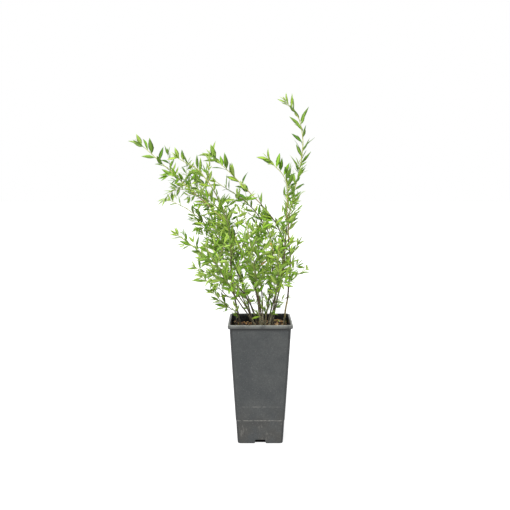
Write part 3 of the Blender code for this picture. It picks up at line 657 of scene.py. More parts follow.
def upright_shoot(route):
    """A shoot that stands upright for one step at the compost, and then leans towards its first bend."""
    foot = Vector((*route.foot, STEM_FOOT))
    start = foot + Vector((0, 0, LINE_STEP))
    lean = (Vector((*route.bends, route.tip)[0]) - start).normalized()
    heading = (lean + Vector((0, 0, FOOT_UPRIGHT))).normalized()
    line = [foot, *smooth_line([start, *route.bends, route.tip], heading)]
    leafy_from = next(index for index, point in enumerate(line) if point.z >= route.bare)
    return Shoot(route, line, leafy_from, FLARE)


def side_shoot(route, carrier):
    """A shoot that leaves its carrier square to the stem."""
    index = min(range(carrier.leafy_from), key=lambda i: abs(carrier.line[i].z - route.height))
    axis = carrier.tangent(index)
    outward = Vector(route.bends[0]) - carrier.line[index]
    outward = (outward - axis * outward.dot(axis)).normalized()
    line = smooth_line([carrier.line[index], *route.bends, route.tip], outward)
    return Shoot(route, line, 0, 0)


shoots = {route.name: upright_shoot(route) for route in ROUTES}
for route in SIDE_ROUTES:
    shoots[route.name] = side_shoot(route, shoots[route.carrier])


def tube(points, radii, sides, swellings, ridges, phase):
    """Rings of a tapering rod, carried along its line without twisting, closed at both ends."""
    placed = []
    side = Vector((0.31, 0.87, 0.05))
    for number, point in enumerate(points):
        before = points[max(number - 1, 0)]
        after = points[min(number + 1, len(points) - 1)]
        axis = (after - before).normalized()
        side = (side - axis * side.dot(axis)).normalized()
        other = axis.cross(side)
        for corner in range(sides):
            turn = corner * math.tau / sides
            one_way, other_way = side * math.cos(turn), other * math.sin(turn)
            rough = 1 + swellings[number] + ridges * math.sin(turn * 3 + phase + number * 0.12)
            rough += ridges * 1.6 * noise.noise(point * 300 + one_way + other_way)
            placed.append(point + (one_way + other_way) * radii[number] * rough)
    faces = []
    for ring in range(len(points) - 1):
        for corner in range(sides):
            low, next_low = ring * sides + corner, ring * sides + (corner + 1) % sides
            faces.append((low, next_low, next_low + sides, low + sides))
    faces.append(tuple(range(sides - 1, -1, -1)))
    faces.append(tuple(range(len(placed) - sides, len(placed))))
    return placed, faces


# Each bark: furrows, ridges, pale breathing pores, and how much of it the pores take.
BARKS = {
    "bark_at_foot": ((0.020, 0.017, 0.010), (0.100, 0.084, 0.048), (0.420, 0.380, 0.270), 0.08),
    "bark_red_brown": ((0.027, 0.019, 0.010), (0.088, 0.061, 0.029), (0.300, 0.235, 0.115), 0.05),
    "bark_tan": ((0.160, 0.115, 0.040), (0.350, 0.285, 0.105), (0.480, 0.420, 0.220), 0.04),
    "bark_yellow_green": ((0.230, 0.235, 0.055), (0.420, 0.450, 0.110), (0.500, 0.480, 0.200), 0.0),
    "bark_pale_foot": ((0.070, 0.061, 0.030), (0.260, 0.236, 0.130), (0.600, 0.560, 0.430), 0.12),
    "bark_olive": ((0.085, 0.100, 0.030), (0.190, 0.215, 0.060), (0.300, 0.290, 0.120), 0.02),
    "bark_orange_knot": ((0.300, 0.130, 0.050), (0.560, 0.280, 0.130), (0.640, 0.420, 0.240), 0.03),
}
FOOT, BROWN, TAN, YOUNG, PALE, OLIVE, KNOT = range(len(BARKS))
# Barks along a kind of shoot, each up to a share of its length.
BARK_RUNS = {
    "old": ((0.22, FOOT), (0.42, BROWN), (0.78, OLIVE), (1, YOUNG)),
    "dark": ((0.30, FOOT), (0.66, BROWN), (0.80, TAN), (1, YOUNG)),
    "tan": ((0.01, PALE), (0.09, TAN), (0.178, BROWN), (0.190, KNOT), (0.36, BROWN), (0.50, TAN), (1, YOUNG)),
    "olive": ((0.08, PALE), (0.26, BROWN), (0.585, YOUNG), (0.71, TAN), (1, YOUNG)),
    "arched": ((0.14, PALE), (0.34, BROWN), (0.46, OLIVE), (0.49, KNOT), (0.84, BROWN), (0.93, OLIVE),
               (1, YOUNG)),
    "pale": ((0.14, PALE), (0.34, BROWN), (0.75, OLIVE), (1, YOUNG)),
    "green": ((1, YOUNG),),
    "sprout": ((0.7, FOOT), (1, YOUNG)),
}
BARK_KINDS = {
    "left_high": "old", "crossing": "dark", "upper_left": "old", "right_tall": "tan", "left_long": "olive",
    "middle": "arched", "front_middle": "pale", "back_middle": "pale", "right_inner": "dark",
    "lower_left": "old", "sprout_left": "sprout", "sprout_middle": "sprout", "low_right": "green",
}


def bark_of(shoot, index):
    """Which bark a place on a shoot has: older towards the foot, green towards the tip."""
    share = index / len(shoot.line) + 0.03 * math.sin(shoot.seed * 2.3)
    runs = BARK_RUNS[BARK_KINDS.get(shoot.name, "old" if shoot.seed % 2 else "pale")]
    return next((bark for end, bark in runs if share < end), YOUNG)


stem_pieces = JoinedPieces()
for shoot in shoots.values():
    line = []
    for index, point in enumerate(shoot.line):
        wander = STEM_WANDER * min(1, index / 20) * noise.noise_vector(point * STEM_WANDERS_PER_METRE)
        line.append(point + wander)
    radii = [shoot.radius(index) for index in range(len(line))]
    swellings = [0.0] * len(line)
    for number, index in shoot.nodes():
        swellings[index - 1 : index + 2] = [KNUCKLE * 0.35, KNUCKLE, KNUCKLE * 0.25]
    for index in range(BARE_KNUCKLE_POINTS - 1, shoot.leafy_from - 4, BARE_KNUCKLE_POINTS):
        swellings[index : index + 2] = [KNUCKLE * 0.8, KNUCKLE * 0.2]
    barks = [bark_of(shoot, index) for index in range(len(line))]
    if shoot.flare:
        line.insert(0, line[0] - Vector((0, 0, SUNK_IN_SOIL)))
        radii.insert(0, radii[0])
        swellings.insert(0, 0.0)
        barks.insert(0, barks[0])
    points, faces = tube(line, radii, STEM_SIDES, swellings, BARK_RIDGES, shoot.seed)
    slots = [bark for bark in barks[:-1] for corner in range(STEM_SIDES)] + [barks[0], barks[-1]]
    stem_pieces.add(points, faces, slots)


def bark_finish(name, furrow, ridge, pore, pore_share):
    """Bark with fine lengthwise grain and pale breathing pores."""
    bark = Finish(name, 0.68, furrow)
    grain = bark.pattern(900, 4, (1, 1, 0.35))
    bark.coat(ridge, bark.window(grain, 0.36, 0.62))
    bark.coat(pore, bark.patches(0.70 - pore_share, 0.76 - pore_share, 1100, 1, (1, 1, 0.8)), 0.8)
    bark.relief(grain, 0.0003, 0.6)
    return bark


stems = stem_pieces.to_object("stems", [bark_finish(name, *tones) for name, tones in BARKS.items()])
shade_smooth(stems, 60)
stem_nodes = [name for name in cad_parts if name.startswith("stem_")]
mass_nodes = [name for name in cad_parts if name.startswith("mass_")]
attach(stems, "root")
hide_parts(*stem_nodes)


# Side twigs: thin springy twigs of one year, which carry most of the leaves. They grow from the
# nodes in three flushes, each clear of the other shoots' wood: one from every other node, shorter
# ones from the nodes between, and a third where the crown is fullest. Longer twigs carry spurs.
FIRST, SECOND, THIRD = range(3)
GOLDEN_ANGLE = math.radians(137.5)
TWIG_ANGLE = math.radians(48)
TWIG_LIFT = 0.024
TWIG_SAG = {"left_long": -0.030}
TWIG_STEP = 0.002
TWIG_SWELL_FROM = 0.30
TWIG_SWELL_SPAN = 0.48
TWIG_TURN_SPREAD = 0.35
TWIG_LENGTH_SPREAD = (0.8, 1.1)
TWIG_ANGLE_SPREAD = (0.8, 1.15)
SHORTEST_TWIGS = (0.014, 0.008, 0.008)
TWIG_CLEAR = 0.0055
LATE_TWIG_CLEAR = 0.0035
LATE_TWIG_SHARE = 0.62
LEAST_FULL = (0, 0.27, 1)
KEPT_TWIGS = 1.3
KEPT_ANYWAY = 0.20
TWIG_RADIUS = 0.00062
TWIG_TIP_RADIUS = 0.00036
TWIG_SIDES = 5
TWIG_TAN = ((0.120, 0.120, 0.035), (0.240, 0.245, 0.070), (0.350, 0.330, 0.140), 0.0)
TWIG_GREEN = ((0.130, 0.190, 0.035), (0.240, 0.330, 0.070), (0.350, 0.400, 0.130), 0.0)
SPUR_GIRTH = 0.7
SPUR_LENGTHS = (0.008, 0.016)
SPUR_POINTS = 8
SPUR_ANGLE_SPREAD = (0.8, 1.2)
SPUR_CLEAR = 0.002
# Short sprigs on the bare stems, and spurs on the leaders up to a share of their leafy part.
SPRIG_LENGTHS = {"middle": (0.008, 0.020), "crossing": (0.010, 0.024), "front_right": (0.012, 0.026),
                 "right_inner": (0.016, 0.034), "back_right": (0.010, 0.026), "back_middle": (0.012, 0.028),
                 "upper_left": (0.008, 0.018), "front_middle": (0.008, 0.018)}
SPRIG_SPLAY = (0.6, 1.3)
SPRIG_SHARE = 0.7
FIRST_SPRIG = 12
SPRIG_POINTS = 5
LEADER_SPURS = {"right_tall": 0.62, "right_inner": 0.86, "lower_left": 0.95}
LEADER_SPUR_LENGTHS = (0.010, 0.020)
LEADER_SPUR_SPLAY = (0.5, 0.9)
SPROUT_CLEAR = 0.003
SHORTEST_COURSE = 4
# How full each shoot is, at even stops from its first leaves to where its side twigs end.
LEAFINESS = {
    "left_long": (0.2, 0.3, 0.4, 0.8, 1.2, 0.9, 0.2, 0.3, 1.5, 0.8, 0.3),
    "left_high": (0.3, 0.2, 0.6, 0.5, 0.15, 0.5), "upper_left": (0.1, 0.15, 0.5, 0.9, 0.9, 0.5),
    "crossing": (0.9, 0.6, 0.2, 0.3, 0.3, 0.4), "middle": (1.2, 0.9, 0.8, 0.65, 0.3, 0.9),
    "right_tall": (0.2, 0.5, 0.0, 0.5, 0.4, 0.35), "right_inner": (0.7, 0.15, 0.15, 0.3, 0.8, 0.8),
    "lower_left": (0.15, 0.1, 0.4, 0.4, 0.6, 0.7), "left_low": (0.1, 0.1, 0.4, 0.4, 0.4, 0.5),
    "left_back": (0.1, 0.2, 0.8, 1.4, 1.0, 0.7), "front_middle": (0.9, 1.0, 0.4, 1.0, 0.5, 0.3),
    "front_left": (0.15, 0.3, 0.6, 0.4, 0.5, 0.6), "front_right": (0.6, 0.7, 0.4, 0.2, 0.2, 0.25),
    "back_middle": (1.2, 1.0, 0.5, 1.2, 0.8, 0.3), "back_left": (0.2, 0.3, 0.5, 0.5, 0.5, 0.9),
    "back_right": (0.5, 0.2, 0.0, 0.0, 0.1, 0.1), "low_left": (0.2, 0.3), "low_left_front": (0.8, 0.8),
}
# Each kind of draw has its own factor for the shoot's seed, and each kind of twig its first number.
TWIG_DRAWS, NODE_DRAWS, SPUR_DRAWS, SPRIG_DRAWS, SPRAY_DRAWS = 1000, 2000, 3000, 4000, 5000
LEADER_SPUR_DRAWS, TIP_DRAWS, KEPT_DRAWS = 6000, 7000, 9000
THIRD_FLUSH_NUMBERS, LEADER_SPUR_NUMBERS, SPRIG_NUMBERS = 500, 700, 900
SPURS_PER_TWIG = 40
# Air that stays open: above the rim and the compost, and the sky between the two tall shoots.
ABOVE_RIM = 0.005
ABOVE_SOIL = 0.004
SKY_LOW = Vector((0.014, -0.20, 0.432))
SKY_HIGH = Vector((0.043, 0.20, 0.560))


def open_air(point, sky_high=SKY_HIGH):
    """Whether a point is clear of the pot, the compost and the open part of the crown."""
    inside_pot = max(abs(point.x), abs(point.y)) < BODY_TOP_WIDTH / 2 - ABOVE_RIM
    if point.z < (SOIL_TOP + ABOVE_SOIL if inside_pot else POT_HEIGHT + ABOVE_RIM):
        return False
    return not all(low < value < high for low, value, high in zip(SKY_LOW, point, sky_high))


def fullness(shoot, index):
    """How full the foliage is at a place on a shoot: at 1 every twig of the plant's rule is kept."""
    along = shoot.leafy_share(index) / max(shoot.branched, 0.01)
    stops = LEAFINESS.get(shoot.name, (1, 1))
    return float(np.interp(along, np.linspace(0, 1, len(stops)), stops))


class WoodCells:
    """All wood of the plant, kept in small cells, so that twigs can grow clear of other shoots."""

    def __init__(self):
        self.cells = {}

    @staticmethod
    def cell_of(point):
        return tuple(math.floor(value / TWIG_CLEAR) for value in point)

    def add(self, owner, points):
        for point in points:
            self.cells.setdefault(self.cell_of(point), []).append((owner, point))

    def clear_of_others(self, owner, point, distance):
        x, y, z = self.cell_of(point)
        for near in itertools.product((x - 1, x, x + 1), (y - 1, y, y + 1), (z - 1, z, z + 1)):
            for other, place in self.cells.get(near, ()):
                if other != owner and (place - point).length < distance:
                    return False
        return True


wood = WoodCells()
for shoot in shoots.values():
    wood.add("stems", shoot.line[: shoot.leafy_from])
    wood.add(shoot.name, shoot.line[shoot.leafy_from :])


def outward_from(tangent, turn):
    """A direction square to the wood, at an angle round it."""
    side = (Vector((0, 1, 0)) - tangent * tangent.y).normalized()
    return side * math.cos(turn) + tangent.cross(side) * math.sin(turn)


def grow_course(start, heading, length, owner, distance):
    """Points of a twig, as far as it stays clear, bending slightly up, or down where it sags."""
    course = [start.copy()]
    while len(course) * TWIG_STEP < length:
        heading = (heading + Vector((0, 0, TWIG_SAG.get(owner, TWIG_LIFT)))).normalized()
        ahead = course[-1] + heading * TWIG_STEP
        if not open_air(ahead) or not wood.clear_of_others(owner, ahead, distance):
            break
        course.append(ahead)
    return course


def twig_at_node(shoot, index, number, flush):
    """The course of a node's twig. The third flush grows opposite the first."""
    rng = shoot.draws(TWIG_DRAWS, number)
    share = shoot.leafy_share(index)
    swell = math.sin(math.pi * (TWIG_SWELL_FROM + TWIG_SWELL_SPAN * share / shoot.branched))
    length = shoot.twig * swell * rng.uniform(*TWIG_LENGTH_SPREAD)
    tangent = shoot.tangent(index)
    turn = number * GOLDEN_ANGLE + rng.uniform(-TWIG_TURN_SPREAD, TWIG_TURN_SPREAD)
    outward = outward_from(tangent, turn)
    if flush == THIRD:
        outward = -outward
    angle = TWIG_ANGLE * rng.uniform(*TWIG_ANGLE_SPREAD)
    heading = tangent * math.cos(angle) + outward * math.sin(angle)
    if flush == FIRST:
        return grow_course(shoot.line[index], heading, length, shoot.name, TWIG_CLEAR)
    length *= min(1, LATE_TWIG_SHARE * fullness(shoot, index))
    return grow_course(shoot.line[index], heading, length, shoot.name, LATE_TWIG_CLEAR)


def sprout(shoot, index, turn, splay, length, owner):
    """The course of a short twig that splays out from a shoot."""
    tangent = shoot.tangent(index)
    heading = (tangent + outward_from(tangent, turn) * splay).normalized()
    return grow_course(shoot.line[index], heading, length, owner, SPROUT_CLEAR)


Twig = namedtuple("Twig", "shoot number course is_spur fullness")
twigs = []
waiting = [(number, shoot.seed, shoot, index) for shoot in shoots.values() for number, index in shoot.nodes()]
waiting.sort(key=lambda item: item[:2])
for flush in (FIRST, SECOND, THIRD):
    for number, seed, shoot, index in waiting:
        if number % 2 != flush % 2 or not shoot.is_branched(index):
            continue
        full = fullness(shoot, index)
        if full < LEAST_FULL[flush]:
            continue
        if shoot.draws(KEPT_DRAWS, number).random() > full * KEPT_TWIGS + KEPT_ANYWAY:
            continue
        course = twig_at_node(shoot, index, number, flush)
        if len(course) * TWIG_STEP >= SHORTEST_TWIGS[flush]:
            first_number = THIRD_FLUSH_NUMBERS if flush == THIRD else 0
            twigs.append(Twig(shoot, first_number + number, course, False, full))
            wood.add(shoot.name, course)
for name, lengths in SPRIG_LENGTHS.items():
    shoot = shoots[name]
    rng = shoot.draws(SPRIG_DRAWS)
    for count, index in enumerate(range(FIRST_SPRIG, shoot.leafy_from, SPRIG_POINTS)):
        splay, length = rng.uniform(*SPRIG_SPLAY), rng.uniform(*lengths)
        course = sprout(shoot, index, count * GOLDEN_ANGLE + shoot.seed, splay, length, "stems")
        if len(course) >= SHORTEST_COURSE and rng.random() < SPRIG_SHARE:
            twigs.append(Twig(shoot, SPRIG_NUMBERS + count, course, True, 1))
for name, last_share in LEADER_SPURS.items():
    shoot = shoots[name]
    rng = shoot.draws(LEADER_SPUR_DRAWS)
    for number, index in shoot.nodes():
        if shoot.branched <= shoot.leafy_share(index) < last_share:
            splay, length = rng.uniform(*LEADER_SPUR_SPLAY), rng.uniform(*LEADER_SPUR_LENGTHS)
            course = sprout(shoot, index, number * GOLDEN_ANGLE + 1, splay, length, name)
            if len(course) >= SHORTEST_COURSE:
                twigs.append(Twig(shoot, LEADER_SPUR_NUMBERS + number, course, True, 1))
for twig in list(twigs):
    if twig.number >= LEADER_SPUR_NUMBERS:
        continue
    rng = twig.shoot.draws(SPUR_DRAWS, twig.number)
    if rng.random() > twig.fullness:
        continue
    for count, place in enumerate(range(3, len(twig.course) - 7, SPUR_POINTS)):
        tangent = (twig.course[place + 1] - twig.course[place - 1]).normalized()
        outward = outward_from(tangent, count * GOLDEN_ANGLE + twig.number * 1.3)
        angle = TWIG_ANGLE * rng.uniform(*SPUR_ANGLE_SPREAD)
        heading = tangent * math.cos(angle) + outward * math.sin(angle)
        length = rng.uniform(*SPUR_LENGTHS)
        course = grow_course(twig.course[place], heading, length, twig.shoot.name, SPUR_CLEAR)
        if len(course) >= SHORTEST_COURSE:
            number = twig.number * SPURS_PER_TWIG + count
            twigs.append(Twig(twig.shoot, number, course, True, twig.fullness))

twig_pieces = JoinedPieces()
for twig in twigs:
    rings = list(range(0, len(twig.course) - 1, 2)) + [len(twig.course) - 1]
    points = [twig.course[ring] for ring in rings]
    thick = TWIG_RADIUS * (SPUR_GIRTH if twig.is_spur else 1.0)
    radii = [thick + (TWIG_TIP_RADIUS - thick) * ring / rings[-1] for ring in rings]
    points, faces = tube(points, radii, TWIG_SIDES, [0.0] * len(rings), BARK_RIDGES, twig.number)
    is_green = twig.is_spur or twig.shoot.seed % 3 == twig.number % 3
    twig_pieces.add(points, faces, [1 if is_green else 0] * len(faces))
twig_finishes = [bark_finish("twig_tan", *TWIG_TAN), bark_finish("twig_green", *TWIG_GREEN)]
side_twigs = twig_pieces.to_object("side_twigs", twig_finishes)
shade_smooth(side_twigs, 80)
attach(side_twigs, "root")
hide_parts(*mass_nodes)


# Leaves: small lance-shaped leaves with a pale midrib and a paler underside, folded a little along
# the midrib. They are widest on the long shoots, narrow on the twigs, and yellow-green at the tips.
# Each is a thin blade of two upper halves, the midrib between them, and a keeled underside. It is
# closed along its edges and at its tip, and open at its base, which sits on the line of its twig.
LEAF_OUTLINE = ((0.00, 0.07), (0.07, 0.11), (0.20, 0.58), (0.40, 1.00), (0.62, 0.84), (0.83, 0.42),
                (1.00, 0.00))
RIB_HALF = 0.075
LEAF_THICKNESS = 0.00034
# Each tint: upper side, midrib and underside.
LEAF_TINTS = {
    "deep": ((0.056, 0.140, 0.004), (0.135, 0.250, 0.030), (0.125, 0.225, 0.030)),
    "mid": ((0.153, 0.302, 0.018), (0.240, 0.385, 0.055), (0.215, 0.360, 0.055)),
    "olive": ((0.218, 0.342, 0.030), (0.290, 0.400, 0.065), (0.270, 0.390, 0.075)),
    "fresh": ((0.255, 0.385, 0.050), (0.350, 0.490, 0.090), (0.320, 0.465, 0.090)),
    "tip": ((0.300, 0.425, 0.058), (0.460, 0.590, 0.140), (0.390, 0.520, 0.110)),
    "rust": ((0.430, 0.210, 0.045), (0.520, 0.360, 0.100), (0.480, 0.310, 0.090)),
}
VEIN_DEPTHS = (0.0002, 0.0001, 0.0003)
RUST_SHARE = 0.003
LOST_SHARE = 0.05
OWN_TINT_SHARE = 0.7
# Leaves of the twigs: length in metres, width as a share of it.
TWIG_LEAF = 0.0230
SPUR_LEAF = 0.0190
TWIG_LEAF_SPREAD = (0.75, 1.12)
TWIG_LEAF_POINTS = 4
TWIG_WIDTH = 0.262
TIP_WIDTH = 0.20
LEAF_LIFT = 0.03
# Leaves of the leaders, the long ends of the shoots: lengths, widths, and shares with a second leaf.
LEADER_LIFT = 0.45
BIG_TIP_LIFT = 0.08
PAIRED_LIFT = 0.10
LEADER_LEAVES = {
    "left_long": 0.033, "crossing": 0.035, "right_tall": 0.032, "right_inner": 0.029, "left_high": 0.029,
    "middle": 0.025, "upper_left": 0.028, "sprout_left": 0.021, "sprout_middle": 0.014, "low_right": 0.022,
    "left_low": 0.028, "low_left": 0.029, "low_left_front": 0.024, "lower_left": 0.025,
}
OTHER_LEADER_LEAF = 0.023
LEADER_WIDTHS = {
    "left_high": 0.29, "upper_left": 0.29, "left_long": 0.34, "crossing": 0.34, "right_inner": 0.27,
    "right_tall": 0.19, "sprout_left": 0.33, "sprout_middle": 0.36, "low_right": 0.30,
}
OTHER_LEADER_WIDTH = 0.24
SECOND_LEAVES = {"right_tall": 0.9, "left_high": 0.45, "upper_left": 0.6, "crossing": 0.55,
                 "right_inner": 0.35, "left_long": 0.1, "lower_left": 0.8}
OTHER_SECOND_LEAF = 0.45
PAIRED_LEAVES = {"right_tall": 0.026}
PAIRED_FROM = 0.2
PAIRED_WIDTH = 0.22
LOST_LEAVES = {"crossing": (12, 18, 20, 22)}
BIG_TIPS = ("crossing", "left_long", "right_inner")
LEAF_SKY_HIGH = Vector((0.043, 0.20, 0.526))
LEAF_TRIES = 4


def leaf_form():
    """One flat leaf, its base at the origin and its tip up +Z, 2 wide; -1 in Y is its full thickness."""
    bm = bmesh.new()
    uv = bm.loops.layers.uv.new("leaf")
    rows = len(LEAF_OUTLINE) - 1
    for columns, is_top in ((3, True), (2, False)):
        made = bmesh.ops.create_grid(bm, x_segments=columns, y_segments=rows, size=0.5)["verts"]
        for face in {face for vert in made for face in vert.link_faces}:
            middle = face.calc_center_median()
            face.material_index = (1 if abs(middle.x) < 0.1 else 0) if is_top else 2
            for loop in face.loops:
                loop[uv].uv = (loop.vert.co.x + 0.5, loop.vert.co.y + 0.5)
        for vert in made:
            along, half = LEAF_OUTLINE[round((vert.co.y + 0.5) * rows)]
            column = round((vert.co.x + 0.5) * columns)
            if is_top:
                rib = min(RIB_HALF * (1 - 0.6 * along), half * 0.5)
                vert.co = Vector(((-half, -rib, rib, half)[column], 0 if column in (0, 3) else -0.15, along))
            else:
                vert.co = Vector(((-half, 0, half)[column], -1 if column == 1 else 0, along))
    for vert in bm.verts:
        if vert.co.z == 1:
            vert.co.y = 0
    bmesh.ops.remove_doubles(bm, verts=bm.verts, dist=0.0001)
    bmesh.ops.dissolve_degenerate(bm, edges=bm.edges, dist=0.0001)
    bmesh.ops.recalc_face_normals(bm, faces=bm.faces)
    bm.verts.index_update()
    points = np.array([vert.co for vert in bm.verts])
    faces = [[vert.index for vert in face.verts] for face in bm.faces]
    slots = [face.material_index for face in bm.faces]
    uvs = [loop[uv].uv[:] for face in bm.faces for loop in face.loops]
    bm.free()
    return points, faces, slots, uvs


Leaf = namedtuple("Leaf", "root direction face length width fold curl twist")
leaves = {tint: [] for tint in LEAF_TINTS}


def add_leaf(tint, root, tangent, turn, angle, length, width, rng, lift=LEAF_LIFT):
    """A leaf beside the wood. It turns on round the wood where its tip would leave the open air.

    Twig leaves look upwards. Leaves with another lift stand on a leader, flatter and turned at random.
    """
    for attempt in range(LEAF_TRIES):
        outward = outward_from(tangent, turn + attempt * GOLDEN_ANGLE)
        direction = tangent * math.cos(angle) + outward * math.sin(angle)
        direction = (direction + Vector((0, 0, lift))).normalized()
        if all(open_air(root + direction * length * share, LEAF_SKY_HIGH) for share in (0.5, 1.0)):
            break
    else:
        return
    if lift == LEAF_LIFT:
        face = tangent.cross(outward)
        face = (face if face.z > 0 else -face) + tangent * 0.35
        turned = rng.gauss(0, 0.45)
        fold = rng.uniform(0.05, 0.30)
    else:
        face = tangent - outward * 0.3 + Vector((0, 0, 0.25))
        turned = rng.choice((-1, 1)) * rng.uniform(0.5, 1.4)
        fold = rng.uniform(0.03, 0.16)
    face = Matrix.Rotation(turned, 3, direction) @ face
    face = (face - direction * face.dot(direction)).normalized()
    curl = rng.gauss(0.25, 0.30)
    width *= rng.uniform(0.85, 1.15)
    leaves[tint].append(Leaf(root, direction, face, length, width, fold, curl, rng.gauss(0, 0.4)))


def spray_tint(rng, lean):
    """The tint of a whole spray, drawn by chance. The more it leans, from 0 to 1, the fresher."""
    draw = rng.random() + 0.35 * lean
    return "deep" if draw < 0.46 else "mid" if draw < 0.86 else "olive" if draw < 0.98 else "fresh"


for twig in twigs:
    rng = twig.shoot.draws(SPRAY_DRAWS, twig.number)
    course = twig.course
    tint = spray_tint(rng, rng.random())
    size = SPUR_LEAF if twig.is_spur else TWIG_LEAF
    flat = rng.uniform(0, math.tau)
    for count, place in enumerate(range(2 if twig.is_spur else 3, len(course) - 1, TWIG_LEAF_POINTS)):
        if rng.random() < LOST_SHARE:
            continue
        tangent = (course[place] - course[place - 1]).normalized()
        length = size * rng.uniform(*TWIG_LEAF_SPREAD)
        turn = flat + count * math.pi + rng.gauss(0, 0.30)
        own_tint = tint if rng.random() < OWN_TINT_SHARE else rng.choice(("deep", "mid", "olive", "fresh"))
        if rng.random() < RUST_SHARE:
            own_tint = "rust"
        add_leaf(own_tint, course[place], tangent, turn, rng.uniform(0.60, 0.98), length, TWIG_WIDTH, rng)
    tangent = (course[-1] - course[-2]).normalized()
    end_tint = "fresh" if rng.random() < (0.35 if tint == "deep" else 0.75) else "mid"
    add_leaf(end_tint, course[-1], tangent, 0, rng.uniform(0, 0.15), size * 0.95, TIP_WIDTH, rng)
    for count in range(2):
        turn, angle = count * 2.6 + twig.number, rng.uniform(0.3, 0.6)
        add_leaf(end_tint, course[-1], tangent, turn, angle, size * 0.8, TIP_WIDTH, rng)


def leaf_among_twigs(shoot, number, index, turn, tangent, rng):
    """The leaf of a node that carries a twig, and on the tall shoot one more beside it."""
    size, tint = TWIG_LEAF * rng.uniform(0.95, 1.2), spray_tint(rng, 0.3)
    add_leaf(tint, shoot.line[index], tangent, turn + 0.5, rng.uniform(0.6, 0.9), size, TWIG_WIDTH, rng)
    if shoot.name in PAIRED_LEAVES and shoot.leafy_share(index) > PAIRED_FROM:
        size = PAIRED_LEAVES[shoot.name] * rng.uniform(0.85, 1.1)
        side = math.pi * (number + 0.5) + rng.gauss(0, 0.5)
        angle = rng.uniform(0.7, 1.1)
        add_leaf(tint, shoot.line[index + 2], tangent, side, angle, size, PAIRED_WIDTH, rng, PAIRED_LIFT)


def leaves_on_leader(shoot, index, turn, tangent, rng):
    """A large leaf at a leader's node, often a second one, and a small fresh one in its axil."""
    root, long = shoot.line[index], LEADER_LEAVES.get(shoot.name, OTHER_LEADER_LEAF)
    tint = rng.choices(("deep", "mid", "olive"), (0.6, 0.34, 0.06))[0]
    width = LEADER_WIDTHS.get(shoot.name, OTHER_LEADER_WIDTH) * rng.uniform(0.85, 1.05)
    size = long * rng.uniform(0.85, 1.1)
    add_leaf(tint, root, tangent, turn, rng.uniform(0.75, 1.15), size, width, rng, LEADER_LIFT)
    if rng.random() < SECOND_LEAVES.get(shoot.name, OTHER_SECOND_LEAF):
        beside, angle = shoot.line[index + 2], rng.uniform(0.6, 1.0)
        add_leaf(tint, beside, tangent, turn + 1.9, angle, size * 0.85, width, rng, LEADER_LIFT)
    if rng.random() < (0.2 if shoot.name in BIG_TIPS else 0.6):
        small = long * rng.uniform(0.30, 0.50)
        turn += rng.uniform(-0.8, 0.8)
        add_leaf("fresh", root, tangent, turn, rng.uniform(0.4, 0.9), small, TIP_WIDTH, rng)


def leaves_at_tip(shoot, rng):
    """The young cluster at a shoot's tip: a few large leaves on three shoots, small ones on the others."""
    end = len(shoot.line) - 1
    tangent = shoot.tangent(end)
    long = LEADER_LEAVES.get(shoot.name, OTHER_LEADER_LEAF) * 0.85
    width = LEADER_WIDTHS.get(shoot.name, TIP_WIDTH)
    add_leaf("tip", shoot.line[end], tangent, 0, 0.1, long * 0.6, TIP_WIDTH, rng)
    if shoot.name in BIG_TIPS:
        for count in range(5 if shoot.name == "crossing" else 3):
            tint, root = "mid" if count > 1 else "fresh", shoot.line[end - count * 2]
            side = math.pi * (count + 0.5) + rng.gauss(0, 0.35)
            angle, size = rng.uniform(0.35, 0.80), long * rng.uniform(0.85, 1.1)
            add_leaf(tint, root, tangent, side, angle, size, width, rng, BIG_TIP_LIFT)
        return
    for count in range(3 if shoot.twig == 0 else 9 if shoot.name == "right_tall" else 6):
        tint, root = "tip" if count < 2 else "fresh", shoot.line[end - count // 2]
        turn = count * GOLDEN_ANGLE + shoot.seed
        angle, size = rng.uniform(0.25, 0.75), long * rng.uniform(0.45, 0.95)
        add_leaf(tint, root, tangent, turn, angle, size, width * rng.uniform(0.9, 1.2), rng)


for shoot in shoots.values():
    for number, index in shoot.nodes():
        rng = shoot.draws(NODE_DRAWS, number)
        turn = number * GOLDEN_ANGLE + rng.uniform(-0.3, 0.3)
        if shoot.is_branched(index):
            leaf_among_twigs(shoot, number, index, turn, shoot.tangent(index), rng)
        elif number not in LOST_LEAVES.get(shoot.name, ()):
            leaves_on_leader(shoot, index, turn, shoot.tangent(index), rng)
    leaves_at_tip(shoot, shoot.draws(TIP_DRAWS))


def leaf_arrays(chosen, form):
    """Points of all the chosen leaves at once: each is folded, twisted, curled and put on its twig."""
    root, direction, face = (np.array([getattr(leaf, part) for leaf in chosen])[:, None]
                             for part in ("root", "direction", "face"))
    length, width, fold, curl, twist = (np.array([getattr(leaf, part) for leaf in chosen])[:, None]
                                        for part in ("length", "width", "fold", "curl", "twist"))
    curl = np.where(np.abs(curl) < 0.02, 0.02, curl)
    side = np.cross(face, direction)
    across = form[None, :, 0] * length * width / 2
    along = form[None, :, 2]
    rise = np.abs(across) * np.sin(fold) + form[None, :, 1] * LEAF_THICKNESS
    across = across * np.cos(fold)
    across, rise = (across * np.cos(twist * along) - rise * np.sin(twist * along),
                    across * np.sin(twist * along) + rise * np.cos(twist * along))
    bend = curl * along
    ahead = length * np.sin(bend) / curl + rise * np.sin(bend)
    up = rise * np.cos(bend) - length * (1 - np.cos(bend)) / curl
    return root + side * across[..., None] + direction * ahead[..., None] + face * up[..., None]


